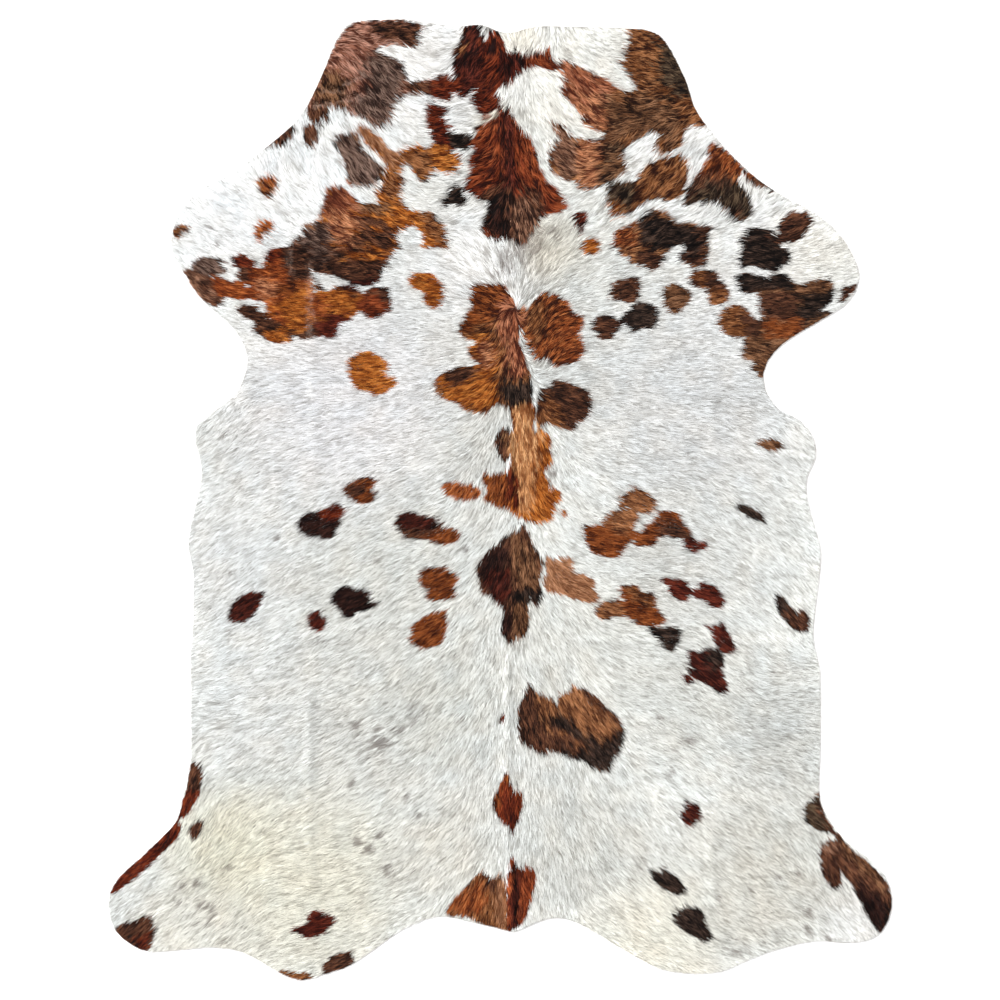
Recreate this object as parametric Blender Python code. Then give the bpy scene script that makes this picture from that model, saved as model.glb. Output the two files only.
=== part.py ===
"""Cowhide rug: one whole tanned hide with its hair on, lying flat, neck at +Y, tail at -Y.

Metres, +Z up. The origin is the middle of the hide's outline, on its flat underside.
The solid is the skin and the coat together: its rim is where the hair ends, and its
top follows the lie of the coat, with the spine's ridge, the old packing folds, the
wrinkles at the neck and the slight cockling that a tanned hide keeps.
"""

from collections import namedtuple

import bmesh
import bpy
import numpy as np
from mathutils.geometry import delaunay_2d_cdt

CM = 0.01
MM = 0.001

# The coat over the skin, and how it thins towards the cut edge
SKIN = 2.2 * MM
PILE_AT_EDGE = 1.3 * MM
PILE_ON_BODY = 4.2 * MM
PILE_ON_NECK = 6.6 * MM
PILE_RUN = 7.0 * CM           # how far in from the edge the coat reaches its full depth
NECK_FROM, NECK_FULL = 0.30, 0.75   # along the hide, where the longer neck hair begins and is full

# How closely the surface is modelled
RIM_STEP = 2.5 * CM
ROLL_IN = 1.1 * CM            # the ring inside the rim, where the edge has rolled over
NET_STEP = 3.3 * CM
UNDER_STEP = 14.0 * CM
GUIDE_STEP = 2.8 * CM

COAT_COLOUR = (0.79, 0.78, 0.75, 1.0)
COAT_ROUGHNESS = 0.62


def table(columns, *rows):
    """Rows with named columns."""
    row_type = namedtuple("Row", columns)
    return [row_type(*row) for row in rows]


# The cut edge, walked clockwise from the neck's left corner: centimetres to the right of
# the hide's middle, and centimetres towards the neck.
NECK_EDGE = table(
    "across along",
    (-44.5, 90.0), (-41.5, 96.0), (-38.0, 104.0), (-35.0, 108.5), (-28.0, 110.0), (-20.5, 110.0),
    (-10.0, 108.5), (-4.5, 109.0), (1.5, 107.0), (8.0, 108.5), (15.5, 108.5), (31.0, 108.0),
    (35.5, 107.0), (38.5, 104.0), (43.0, 95.5), (44.5, 90.5),
)
RIGHT_SHOULDER = table(
    "across along",
    (47.5, 85.5), (55.5, 76.5), (63.5, 70.5), (72.5, 65.5), (78.0, 60.5), (81.5, 55.0),
    (82.5, 51.0), (81.5, 47.5), (78.5, 44.0), (71.0, 39.5), (65.0, 35.5), (61.5, 31.5), (60.5, 28.5),
)
RIGHT_FLANK = table(
    "across along",
    (61.0, 25.0), (63.5, 21.0), (69.0, 18.0), (72.0, 14.0), (72.5, 9.5), (70.5, 5.0), (70.5, 0.0),
    (72.0, -5.5), (73.5, -11.0), (73.5, -16.0), (72.5, -25.0), (72.0, -33.0), (73.5, -40.5),
    (73.5, -60.0), (73.5, -69.5),
)
RIGHT_SHANK = table(
    "across along",
    (76.0, -74.5), (80.0, -79.0), (87.0, -84.5), (89.5, -89.0), (90.0, -94.0), (87.5, -99.5),
    (84.0, -101.5), (79.0, -102.0), (72.5, -101.5), (62.0, -104.0), (55.5, -106.5),
)
RUMP_EDGE = table(
    "across along",
    (51.0, -108.5), (46.0, -109.0), (39.5, -108.5), (34.5, -107.0), (25.0, -101.5), (20.0, -98.5),
    (15.0, -96.5), (11.0, -96.5), (7.0, -98.0), (3.0, -99.5), (-0.5, -98.5), (-5.5, -97.5),
    (-12.5, -96.0), (-17.0, -96.5), (-22.5, -99.0), (-34.0, -107.0), (-40.0, -109.0),
)
LEFT_SHANK = table(
    "across along",
    (-45.0, -110.5), (-50.0, -109.0), (-59.5, -104.0), (-66.0, -103.0), (-72.5, -103.5),
    (-80.5, -104.0), (-84.5, -102.5), (-88.5, -99.0), (-90.0, -93.5), (-89.5, -90.5),
    (-87.0, -86.5), (-82.0, -82.0), (-77.0, -77.0), (-74.0, -73.5), (-72.5, -67.5),
)
LEFT_FLANK = table(
    "across along",
    (-71.0, -61.0), (-71.0, -37.5), (-70.5, -28.0), (-70.5, -16.5), (-71.5, -11.5), (-71.0, -6.5),
    (-69.5, -0.5), (-68.5, 5.5), (-69.0, 9.5), (-70.0, 13.0), (-69.5, 17.0), (-67.5, 18.5),
    (-64.5, 21.0), (-61.0, 23.5), (-59.0, 27.5), (-58.0, 32.0),
)
LEFT_SHOULDER = table(
    "across along",
    (-59.5, 36.5), (-62.0, 40.0), (-69.0, 46.5), (-72.5, 52.0), (-74.5, 55.0), (-75.5, 59.0),
    (-75.0, 62.0), (-73.5, 66.0), (-69.5, 70.5), (-62.0, 74.5), (-54.0, 80.5), (-47.5, 86.0),
)
CUT_EDGE = (
    NECK_EDGE + RIGHT_SHOULDER + RIGHT_FLANK + RIGHT_SHANK
    + RUMP_EDGE + LEFT_SHANK + LEFT_FLANK + LEFT_SHOULDER
)

# The parting down the back, from the neck edge to the tail (centimetres)
SPINE = table(
    "across along",
    (1.5, 103.0), (3.0, 80.0), (3.5, 55.0), (3.0, 25.0), (3.0, 0.0), (2.5, -30.0),
    (2.0, -60.0), (1.5, -80.0), (2.5, -94.0),
)
SPINE_RISE = 1.7 * MM
SPINE_HALF_WIDTH = 2.4 * CM

# Soft lines left by folding and packing: from, to (centimetres), rise (millimetres; a
# crease that sinks in has a negative rise) and half width (centimetres)
FOLDS = table(
    "place across along to_across to_along rise half_width",
    ("left, fore", -44.0, 59.0, -42.0, 4.0, 0.8, 1.6),
    ("left, hind", -43.8, -35.0, -43.5, -102.0, 1.3, 1.8),
    ("right, fore", 46.5, 46.0, 48.5, 4.0, 0.9, 1.7),
    ("right thigh", 47.8, -44.0, 47.8, -70.0, -0.9, 1.7),
    ("right, hind", 48.6, -73.0, 48.5, -100.0, 1.2, 1.8),
    ("left waist", -66.0, 12.5, -50.0, 11.0, -0.8, 1.6),
    ("right waist", 46.0, 10.5, 69.0, 9.8, 0.9, 1.6),
    ("left belly", -60.0, -33.5, -29.0, -29.5, 1.1, 1.6),
    ("right belly", 9.0, -31.8, 70.0, -32.3, 1.2, 1.6),
    ("left thigh", -66.0, -73.0, -45.0, -73.0, -0.9, 1.6),
    ("neck wrinkle", -42.0, 94.0, -36.0, 91.5, 1.1, 1.2),
    ("neck wrinkle, inner", -38.5, 97.0, -34.5, 94.0, 0.9, 1.0),
)

# Places where the hide stands a little proud of the floor, or where long hair mounds up
SWELLS = table(
    "place across along radius rise",
    ("whorl on the withers", 3.5, 56.5, 11.0, 2.0),
    ("neck, left of the parting", -4.0, 92.0, 9.0, 1.1),
    ("neck, right of the parting", 9.0, 90.0, 10.0, 1.3),
    ("left fore shank", -68.0, 58.0, 7.0, 1.7),
    ("left shoulder edge", -63.0, 44.0, 6.0, 1.4),
    ("right fore shank", 75.0, 52.0, 7.0, 1.7),
    ("right shoulder edge", 66.0, 41.0, 6.0, 1.2),
    ("left waist edge", -65.0, 15.0, 5.5, 1.7),
    ("right waist edge", 68.0, 10.0, 5.5, 1.7),
    ("left belly edge", -66.5, -12.0, 6.5, 1.3),
    ("right belly edge", 69.0, -15.0, 6.0, 1.4),
    ("left hind shank", -82.5, -94.0, 8.0, 1.6),
    ("left heel", -49.0, -104.0, 6.0, 1.3),
    ("right hind shank", 83.0, -93.0, 8.0, 1.7),
    ("right heel", 44.0, -102.0, 7.0, 1.4),
    ("tail", 2.0, -92.0, 6.5, 1.5),
)


def smooth_curve(points, step, closed):
    """Points about a step apart on a smooth curve through the given ones."""
    points = np.asarray(points, float)
    count = len(points)
    found = []
    for i in range(count if closed else count - 1):
        if closed:
            before, start, end, after = (points[(i + k) % count] for k in (-1, 0, 1, 2))
        else:
            start, end = points[i], points[i + 1]
            before = points[i - 1] if i else 2 * start - end
            after = points[i + 2] if i + 2 < count else 2 * end - start
        chord = np.linalg.norm(end - start)
        leave = chord * (end - before) / np.linalg.norm(end - before)
        arrive = chord * (after - start) / np.linalg.norm(after - start)
        pieces = max(1, round(chord / step))
        for t in np.arange(pieces) / pieces:
            found.append(
                (2 * t**3 - 3 * t**2 + 1) * start + (t**3 - 2 * t**2 + t) * leave
                + (3 * t**2 - 2 * t**3) * end + (t**3 - t**2) * arrive
            )
    if not closed:
        found.append(points[-1])
    return np.array(found)


def rows_in_metres(rows):
    return np.array([(row.across, row.along) for row in rows]) * CM


def line_distance(points, start, end):
    """How far each point lies from the straight line between two points."""
    along = end - start
    t = np.clip((points - start) @ along / (along @ along), 0.0, 1.0)
    return np.linalg.norm(points - start - t[:, None] * along, axis=1)


def path_distance(points, path, closed=False):
    """How far each point lies from a path of straight lines."""
    ends = np.roll(path, -1, axis=0) if closed else path[1:]
    starts = path if closed else path[:-1]
    nearest = np.full(len(points), np.inf)
    for start, end in zip(starts, ends):
        nearest = np.minimum(nearest, line_distance(points, start, end))
    return nearest


def inside(points, rim):
    """Which points lie within the rim, by counting the edges to their right."""
    odd = np.zeros(len(points), bool)
    x, y = points.T
    for (x0, y0), (x1, y1) in zip(rim, np.roll(rim, -1, axis=0)):
        crosses = (y0 > y) != (y1 > y)
        if crosses.any():
            odd ^= crosses & (x < x0 + (y - y0) * (x1 - x0) / (y1 - y0))
    return odd


def ease(t):
    t = np.clip(t, 0.0, 1.0)
    return t * t * (3.0 - 2.0 * t)


def soft_bump(distance, half_width):
    """1 on the line or point, falling smoothly to 0 well outside the half width."""
    return np.exp(-((distance / half_width) ** 2))


def coat_height(points, rim, spine):
    """Height of the coat's surface above the floor."""
    neck = ease((points[:, 1] - NECK_FROM) / (NECK_FULL - NECK_FROM))
    full = PILE_ON_BODY + (PILE_ON_NECK - PILE_ON_BODY) * neck
    from_edge = path_distance(points, rim, closed=True)
    height = SKIN + PILE_AT_EDGE + (full - PILE_AT_EDGE) * ease(from_edge / PILE_RUN)
    height += SPINE_RISE * soft_bump(path_distance(points, spine), SPINE_HALF_WIDTH)
    for fold in FOLDS:
        start = np.array([fold.across, fold.along]) * CM
        end = np.array([fold.to_across, fold.to_along]) * CM
        height += fold.rise * MM * soft_bump(line_distance(points, start, end), fold.half_width * CM)
    for swell in SWELLS:
        middle = np.array([swell.across, swell.along]) * CM
        apart = np.linalg.norm(points - middle, axis=1)
        height += swell.rise * MM * soft_bump(apart, swell.radius * CM)
    return height


def guide_rows(spine):
    """Rows of points along and beside the spine and each fold, so that the net follows them."""
    rows = []
    lines = [(spine, SPINE_HALF_WIDTH)]
    for fold in FOLDS:
        ends = [(fold.across * CM, fold.along * CM), (fold.to_across * CM, fold.to_along * CM)]
        lines.append((smooth_curve(ends, GUIDE_STEP, closed=False), fold.half_width * CM))
    for path, half_width in lines:
        run = np.gradient(path, axis=0)
        side = np.stack([-run[:, 1], run[:, 0]], axis=1) / np.linalg.norm(run, axis=1)[:, None]
        for share in (-1.0, 0.0, 1.0):
            rows.append(path + share * half_width * side)
    return rows


def net_points(rim, step, clear_of_rim):
    """A triangular net of points inside the rim."""
    low, high = rim.min(axis=0), rim.max(axis=0)
    rise = step * np.sqrt(0.75)
    found = []
    for row, y in enumerate(np.arange(low[1] + rise / 2, high[1], rise)):
        start = low[0] + (step / 2 if row % 2 else 0.0)
        found += [(x, y) for x in np.arange(start, high[0], step)]
    found = np.array(found)
    found = found[inside(found, rim)]
    return found[path_distance(found, rim, closed=True) > clear_of_rim]


def thinned(points, taken, apart):
    """The points that keep their distance from those already taken."""
    for place in taken:
        points = points[np.linalg.norm(points - place, axis=1) > apart]
    return points


def triangulated(rim, inner):
    """Triangles that fill the rim and pass through the inner points."""
    points = np.vstack([rim, inner])
    edges = [(i, (i + 1) % len(rim)) for i in range(len(rim))]
    places, _, faces, *_ = delaunay_2d_cdt([tuple(p) for p in points], edges, [], 1, 1e-6)
    return np.array([tuple(p) for p in places]), [tuple(face) for face in faces]


def rolled_ring(rim):
    """The rim moved inwards to where the edge has rolled over."""
    run = np.roll(rim, -1, axis=0) - np.roll(rim, 1, axis=0)
    inward = np.stack([run[:, 1], -run[:, 0]], axis=1) / np.linalg.norm(run, axis=1)[:, None]
    ring = rim + ROLL_IN * inward
    return ring[path_distance(ring, rim, closed=True) > 0.8 * ROLL_IN]


def top_points(rim, spine):
    """Everything the top's triangles pass through, the finest rows first."""
    taken = rolled_ring(rim)
    for row in guide_rows(spine):
        row = row[inside(row, rim)]
        row = row[path_distance(row, rim, closed=True) > 1.8 * ROLL_IN]
        taken = np.vstack([taken, thinned(row, taken, 0.35 * GUIDE_STEP)])
    net = net_points(rim, NET_STEP, 2.2 * ROLL_IN)
    return np.vstack([taken, thinned(net, taken, 0.62 * NET_STEP)])


def hide_mesh():
    """The closed solid: a net over the top, a flat net below, and the rim's wall between."""
    rim = smooth_curve(rows_in_metres(CUT_EDGE), RIM_STEP, closed=True)
    rim -= (rim.min(axis=0) + rim.max(axis=0)) / 2
    spine = smooth_curve(rows_in_metres(SPINE), GUIDE_STEP, closed=False)
    over, over_faces = triangulated(rim, top_points(rim, spine))
    under, under_faces = triangulated(rim, net_points(rim, UNDER_STEP, UNDER_STEP / 2))
    shape = bmesh.new()
    heights = coat_height(over, rim, spine)
    top = [shape.verts.new((x, y, z)) for (x, y), z in zip(over, heights)]
    base = [shape.verts.new((x, y, 0.0)) for x, y in under]
    for face in over_faces:
        shape.faces.new([top[i] for i in face])
    for face in under_faces:
        shape.faces.new([base[i] for i in reversed(face)])
    for i in range(len(rim)):
        j = (i + 1) % len(rim)
        shape.faces.new([base[j], base[i], top[i], top[j]])
    bmesh.ops.recalc_face_normals(shape, faces=shape.faces)
    mesh = bpy.data.meshes.new("hide")
    shape.to_mesh(mesh)
    shape.free()
    mesh.shade_smooth()
    mesh.set_sharp_from_angle(angle=np.radians(50))
    return mesh


def coat_material():
    material = bpy.data.materials.new("hair_on_hide")
    material.use_nodes = True
    surface = material.node_tree.nodes["Principled BSDF"]
    surface.inputs["Base Color"].default_value = COAT_COLOUR
    surface.inputs["Roughness"].default_value = COAT_ROUGHNESS
    surface.inputs["Metallic"].default_value = 0.0
    return material


def make_hide():
    hide = bpy.data.objects.new("hide", hide_mesh())
    hide.data.materials.append(coat_material())
    bpy.context.scene.collection.objects.link(hide)
    return hide


for old in list(bpy.data.objects):
    bpy.data.objects.remove(old, do_unlink=True)

make_hide()
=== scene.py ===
import math

import bmesh
import bpy
import numpy as np
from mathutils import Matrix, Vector
from mathutils.bvhtree import BVHTree


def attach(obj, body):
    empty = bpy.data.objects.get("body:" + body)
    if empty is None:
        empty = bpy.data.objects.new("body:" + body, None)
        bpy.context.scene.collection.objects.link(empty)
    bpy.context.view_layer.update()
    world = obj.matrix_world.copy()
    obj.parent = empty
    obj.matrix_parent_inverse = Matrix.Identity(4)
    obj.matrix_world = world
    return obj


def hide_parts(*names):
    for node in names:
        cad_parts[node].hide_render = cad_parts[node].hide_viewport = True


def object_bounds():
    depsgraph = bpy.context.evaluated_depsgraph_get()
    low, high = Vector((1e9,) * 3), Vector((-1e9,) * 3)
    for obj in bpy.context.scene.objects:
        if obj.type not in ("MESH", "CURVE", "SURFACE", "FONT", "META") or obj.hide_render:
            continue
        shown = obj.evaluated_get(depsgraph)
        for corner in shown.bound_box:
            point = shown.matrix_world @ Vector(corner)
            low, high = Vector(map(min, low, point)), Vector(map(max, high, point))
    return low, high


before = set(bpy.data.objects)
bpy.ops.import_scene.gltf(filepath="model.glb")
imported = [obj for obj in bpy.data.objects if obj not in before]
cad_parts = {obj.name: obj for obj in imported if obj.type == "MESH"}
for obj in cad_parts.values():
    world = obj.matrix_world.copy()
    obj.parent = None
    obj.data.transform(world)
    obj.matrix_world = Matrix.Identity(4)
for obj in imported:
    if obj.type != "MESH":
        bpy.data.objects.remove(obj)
cadBox = [list(corner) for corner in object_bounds()]

cm = 0.01
mm = 0.001

# Markings and hair directions are charted on 1000 x 1000 squares laid over the rug, neck at the top
chart = dict(square=2.2965 * mm, middleAcross=500.0, middleDown=499.5)


def fromChart(across, down):
    x = (np.asarray(across, float) - chart["middleAcross"]) * chart["square"]
    y = (chart["middleDown"] - np.asarray(down, float)) * chart["square"]
    return np.stack([x, y], axis=-1)


def ease(t):
    t = np.clip(t, 0.0, 1.0)
    return t * t * (3.0 - 2.0 * t)


def mix(a, b, share):
    return a + (b - a) * share


def eitherWay(chance):
    return 2 * chance - 1      # from 0..1 to -1..1


def rowDot(a, b):
    return np.einsum("ij,ij->i", a, b)


# Soft unevenness, each kind with its own size and seed
waves = dict(
    cockle=dict(size=9.0 * cm, seed=5),
    hairSwing=dict(size=18.0 * mm, seed=51),
    overhang=dict(size=7.0 * cm, seed=52),
    pigmentSpots=dict(size=30.0 * mm, seed=31),
    pigmentDrift=dict(size=90.0 * mm, seed=32),
    whiteCloud=dict(size=60.0 * mm, seed=33),
    whiteMottle=dict(size=20.0 * mm, seed=34),
    whiteWarmth=dict(size=40.0 * mm, seed=35),
)


def softNoise(points, name):
    # -1 to 1, gliding from one place to the next
    lattice = np.random.default_rng(waves[name]["seed"]).uniform(-1.0, 1.0, (256, 256))
    place = points / waves[name]["size"] + 128.0
    cell = np.floor(place).astype(int)
    u, v = ease(place - cell).T
    i, j = (cell % 255).T
    near = mix(lattice[i, j], lattice[i + 1, j], u)
    far = mix(lattice[i, j + 1], lattice[i + 1, j + 1], u)
    return mix(near, far, v)


# the lie of the land: heights, the cut edge and the way the hair lies, on one grid

ground = dict(
    step=5.0 * mm,
    margin=4.0 * cm,
    softening=11.0 * mm,        # smooths the facets of the solid's top
    cockle=0.35 * mm,           # faint unevenness of a tanned hide
)


def mergedSolid(node):
    # a copy of the hide's solid with its loose triangles joined up
    shape = bmesh.new()
    shape.from_mesh(node.data)
    bmesh.ops.remove_doubles(shape, verts=shape.verts, dist=0.01 * mm)
    shape.normal_update()
    return shape


def cutEdge(shape):
    # the outline, walked along the edges where the side meets the flat underside
    steps = {}
    for edge in shape.edges:
        if len(edge.link_faces) != 2:
            continue
        lows = [f for f in edge.link_faces if f.normal.z < -0.9]
        walls = [f for f in edge.link_faces if abs(f.normal.z) < 0.3]
        if len(lows) == 1 and len(walls) == 1:
            for a, b in (edge.verts, reversed(edge.verts)):
                steps.setdefault(a.index, []).append(b.index)
    start = min(steps)
    path = [start]
    before, here = None, start
    while True:
        after = [n for n in steps[here] if n != before]
        before, here = here, after[0]
        if here == start:
            break
        path.append(here)
    shape.verts.ensure_lookup_table()
    return np.array([shape.verts[i].co.xy for i in path])


def lineDistance(points, start, end):
    along = end - start
    t = np.clip((points - start) @ along / max(along @ along, 1e-12), 0.0, 1.0)
    return points - start - t[:, None] * along


def outlineField(points, outline):
    # distance to the outline, negative inside, and the direction straight out of it
    nearest = np.full(len(points), np.inf)
    away = np.zeros((len(points), 2))
    inside = np.zeros(len(points), bool)
    x, y = points.T
    for start, end in zip(outline, np.roll(outline, -1, axis=0)):
        offset = lineDistance(points, start, end)
        length = rowDot(offset, offset)
        closer = length < nearest
        nearest[closer] = length[closer]
        away[closer] = offset[closer]
        crosses = (start[1] > y) != (end[1] > y)
        if crosses.any():
            reach = start[0] + (y - start[1]) * (end[0] - start[0]) / (end[1] - start[1] + 1e-30)
            inside ^= crosses & (x < reach)
    distance = np.sqrt(nearest)
    outward = away / np.maximum(distance, 1e-9)[:, None]
    sign = np.where(inside, -1.0, 1.0)
    return distance * sign, outward * sign[:, None]


def gridPlaces():
    low = np.array(cadBox[0][:2]) - ground["margin"]
    high = np.array(cadBox[1][:2]) + ground["margin"]
    counts = np.ceil((high - low) / ground["step"]).astype(int) + 1
    xs = low[0] + ground["step"] * np.arange(counts[0])
    ys = low[1] + ground["step"] * np.arange(counts[1])
    places = np.stack(np.meshgrid(xs, ys, indexing="ij"), axis=-1)
    return low, places


def blurred(values, radius):
    # smoothed over the grid
    reach = int(3 * radius / ground["step"])
    window = np.exp(-0.5 * (np.arange(-reach, reach + 1) * ground["step"] / radius) ** 2)
    window /= window.sum()
    for axis in (0, 1):
        values = np.apply_along_axis(np.convolve, axis, values, window, mode="same")
    return values


def sample(grid, points):
    # what the grid holds at each point, blended from the four places round it
    place = (points - gridLow) / ground["step"]
    limit = np.array(grid.shape[:2]) - 1.001
    place = np.clip(place, 0.0, limit)
    cell = place.astype(int)
    share = place - cell
    i, j = cell.T
    u, v = share.T
    if grid.ndim > 2:
        u, v = u[:, None], v[:, None]
    near = mix(grid[i, j], grid[i + 1, j], u)
    far = mix(grid[i, j + 1], grid[i + 1, j + 1], u)
    return mix(near, far, v)


def topHeights(shape, places):
    # how high the coat stands, carried on past the cut edge
    tree = BVHTree.FromBMesh(shape)
    down = Vector((0.0, 0.0, -1.0))
    flat = places.reshape(-1, 2)
    heights = np.zeros(len(flat))
    known = np.zeros(len(flat))
    for n, (x, y) in enumerate(flat):
        hit = tree.ray_cast(Vector((x, y, 1.0)), down)[0]
        if hit is not None:
            heights[n] = hit.z
            known[n] = 1.0
    heights = heights.reshape(places.shape[:2])
    known = known.reshape(places.shape[:2])
    spread = blurred(known, ground["softening"])
    wide = blurred(known, 4.0 * ground["softening"])
    close = blurred(heights * known, ground["softening"]) / np.maximum(spread, 1e-6)
    far = blurred(heights * known, 4.0 * ground["softening"]) / np.maximum(wide, 1e-6)
    return np.where(spread > 0.02, close, far)


hairRun = dict(
    reach=9.0 * mm,             # a charted direction rules alone this close to its place
    falloff=1.6,
    partingHold=8.0 * mm,       # directions charted further out than this stay on their side of the parting
    partingSoftness=12.0 * mm,
    wander=7.0,                 # degrees that the hair swings from side to side
    neckWander=16.0,
    neckFrom=0.42,              # metres above the middle where the neck's longer hair begins
    neckRun=0.34,
)

# How the hair lies: squares across and down the chart, and degrees turned from the rug's right
hairLie = [
    # neck, left of the parting
    (345, 42, 178), (390, 34, -172), (420, 60, 150), (450, 40, 180), (365, 72, 135), (330, 98, 112),
    (490, 64, -150), (478, 84, -165), (472, 34, -130),
    (352, 104, 115), (388, 105, 138), (412, 88, 150), (440, 118, 180), (440, 165, 178), (472, 60, -110),
    (485, 105, 175), (485, 155, -162), (480, 195, -158),
    # neck, right of the parting
    (520, 62, -75), (538, 62, -20), (568, 44, -40), (600, 48, -15), (640, 45, -18),
    (667, 62, -20), (683, 92, -8), (600, 92, -15), (625, 112, -8), (578, 84, -50), (526, 98, -66),
    (504, 40, -60), (517, 42, -95), (531, 43, -118), (546, 42, -108), (558, 60, -40), (508, 96, -140),
    (516, 98, -105), (540, 94, -42), (552, 84, -58), (512, 118, -78), (546, 130, -55), (526, 155, -66),
    (540, 180, -55), (556, 145, -30), (590, 162, 12),
    (648, 116, 12), (688, 114, 22), (650, 150, 47), (680, 140, 42), (620, 150, 32), (575, 195, 25),
    # parting over the neck and withers
    (508, 90, -90), (509, 150, -90), (513, 215, -90), (514, 238, -90),
    # left shoulder
    (280, 160, 112), (320, 172, 118), (287, 135, 100), (316, 120, 100), (350, 160, 127), (376, 170, 128),
    (392, 148, 132), (420, 162, 152), (300, 205, 135), (322, 220, 145), (400, 218, 160), (430, 240, 165),
    (455, 275, 165), (300, 268, 176), (350, 268, 180), (380, 300, 180), (330, 320, 180), (270, 300, 174),
    (230, 200, 145), (200, 235, 150), (186, 262, 148), (202, 282, 142), (228, 290, 166), (242, 232, 158),
    (252, 322, 170), (222, 318, 160),
    # right shoulder
    (650, 180, 45), (615, 200, 42), (600, 215, 38), (700, 180, 62), (722, 196, 72), (744, 192, 86),
    (760, 182, 42), (797, 226, 22), (775, 200, 32), (690, 208, 32), (625, 236, 24), (668, 236, 10),
    (640, 262, 8), (752, 240, -8), (765, 262, -10), (770, 302, 0), (735, 320, 2), (800, 292, -4),
    (832, 258, 14), (846, 288, 8), (720, 286, 5), (690, 300, 6), (640, 300, 4), (592, 240, 16),
    (600, 330, 2), (650, 330, 0),
    # whorl on the withers, and the back behind it
    (485, 262, 132), (515, 268, 90), (540, 250, 62), (562, 236, 50), (580, 266, 24), (500, 246, 110),
    (488, 300, 158), (470, 330, -176), (482, 356, -178), (460, 386, -160), (440, 310, 176),
    (538, 320, 64), (560, 320, 20), (582, 320, 2), (542, 358, 58), (562, 376, 8), (566, 406, -18),
    (511, 330, -90), (519, 370, -90), (521, 415, -90), (518, 470, -90), (497, 482, -108), (545, 470, -70),
    (520, 560, -90), (492, 572, -118), (542, 580, -62), (510, 640, -90), (508, 700, -90), (508, 760, -90),
    (508, 800, -90), (508, 850, -90), (508, 900, -90),
    # left flank and belly
    (290, 350, 174), (340, 352, 178), (400, 350, 180), (305, 445, -165), (380, 440, -168),
    (440, 440, -165), (222, 420, -136), (230, 465, -150), (200, 400, -140), (200, 520, -146),
    (200, 600, -148), (240, 570, -147), (330, 570, -152), (360, 490, -156), (420, 530, -160),
    (440, 580, -158), (430, 630, -150), (466, 622, -128), (470, 540, -138), (260, 640, -152),
    # right flank and belly
    (600, 360, -3), (680, 370, -4), (740, 382, -8), (675, 445, -10), (600, 440, -14), (766, 536, -38),
    (730, 460, -24), (780, 380, -28), (800, 450, -38), (745, 512, -32), (560, 500, -40), (600, 540, -10),
    (660, 560, -5), (620, 608, -10), (572, 574, -22), (700, 612, -20), (720, 640, -36), (670, 640, -14),
    (800, 566, -42), (795, 616, -48), (572, 632, -50), (710, 672, -34),
    # hind part, left
    (220, 700, -168), (232, 770, -150), (330, 700, -156), (382, 742, -150), (300, 762, -150),
    (450, 700, -140), (486, 690, -115), (482, 762, -114), (430, 800, -142), (192, 790, -112),
    (196, 830, -118), (140, 930, -138), (150, 880, -146), (200, 882, -144), (240, 902, -142),
    (300, 880, -170), (352, 852, -162), (320, 930, -170), (400, 902, -155), (330, 962, -160),
    (440, 850, -136), (474, 850, -122), (456, 898, -122), (484, 905, -104),
    # hind part, right
    (540, 660, -62), (540, 722, -72), (592, 728, -52), (560, 782, -74), (640, 690, -18), (660, 742, -24),
    (700, 782, -36), (790, 692, -3), (770, 742, -14), (795, 800, -36), (600, 800, -52), (640, 840, -46),
    (620, 872, -44), (664, 880, -36), (692, 922, -42), (650, 950, -22), (612, 916, -32), (780, 900, -26),
    (832, 862, -58), (862, 868, -46), (880, 905, -66), (846, 916, -42), (720, 940, -22), (530, 880, -76),
    (556, 880, -82), (580, 850, -62), (740, 840, -34),
]
parting = [(512, 30), (509, 90), (510, 150), (513, 230), (513, 300), (516, 360), (521, 420), (519, 500),
           (521, 560), (511, 640), (508, 720), (508, 800), (507, 880), (508, 930)]


def partingPlace(y):
    # how far across the parting runs at each height
    line = fromChart(*np.array(parting).T)
    return np.interp(-y, -line[:, 1], line[:, 0])


def lieField(places):
    # each place takes the directions charted round it, those across the parting only close to it
    flat = places.reshape(-1, 2)
    side = flat[:, 0] - partingPlace(flat[:, 1])
    total = np.zeros((len(flat), 2))
    for across, down, degrees in hairLie:
        spot = fromChart(across, down)
        spotSide = spot[0] - partingPlace(spot[1])
        gap = flat - spot
        weight = 1.0 / (rowDot(gap, gap) + hairRun["reach"] ** 2) ** hairRun["falloff"]
        if abs(spotSide) > hairRun["partingHold"]:
            crossing = np.maximum(-side * np.sign(spotSide), 0.0)
            weight = weight * np.exp(-((crossing / hairRun["partingSoftness"]) ** 2))
        turn = math.radians(degrees)
        total += weight[:, None] * np.array([math.cos(turn), math.sin(turn)])
    total /= np.maximum(np.linalg.norm(total, axis=1), 1e-12)[:, None]
    return total.reshape(places.shape)


def neckShare(points):
    return ease((points[:, 1] - hairRun["neckFrom"]) / hairRun["neckRun"])


def flowAt(points):
    # which way the hair lies at each point, with its small waves
    lie = sample(lieGrid, points)
    swing = mix(hairRun["wander"], hairRun["neckWander"], neckShare(points))
    turn = np.arctan2(lie[:, 1], lie[:, 0]) + np.radians(swing) * softNoise(points, "hairSwing")
    return np.stack([np.cos(turn), np.sin(turn)], axis=1)


solid = mergedSolid(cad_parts["hide"])
rim = cutEdge(solid)
gridLow, gridAll = gridPlaces()
topGrid = topHeights(solid, gridAll)
rimGrid = -outlineField(gridAll.reshape(-1, 2), rim)[0].reshape(topGrid.shape)
lieGrid = lieField(gridAll)
topGrid = topGrid + ground["cockle"] * softNoise(gridAll.reshape(-1, 2), "cockle").reshape(topGrid.shape)
print("ground: grid", topGrid.shape, "edge points", len(rim))

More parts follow.
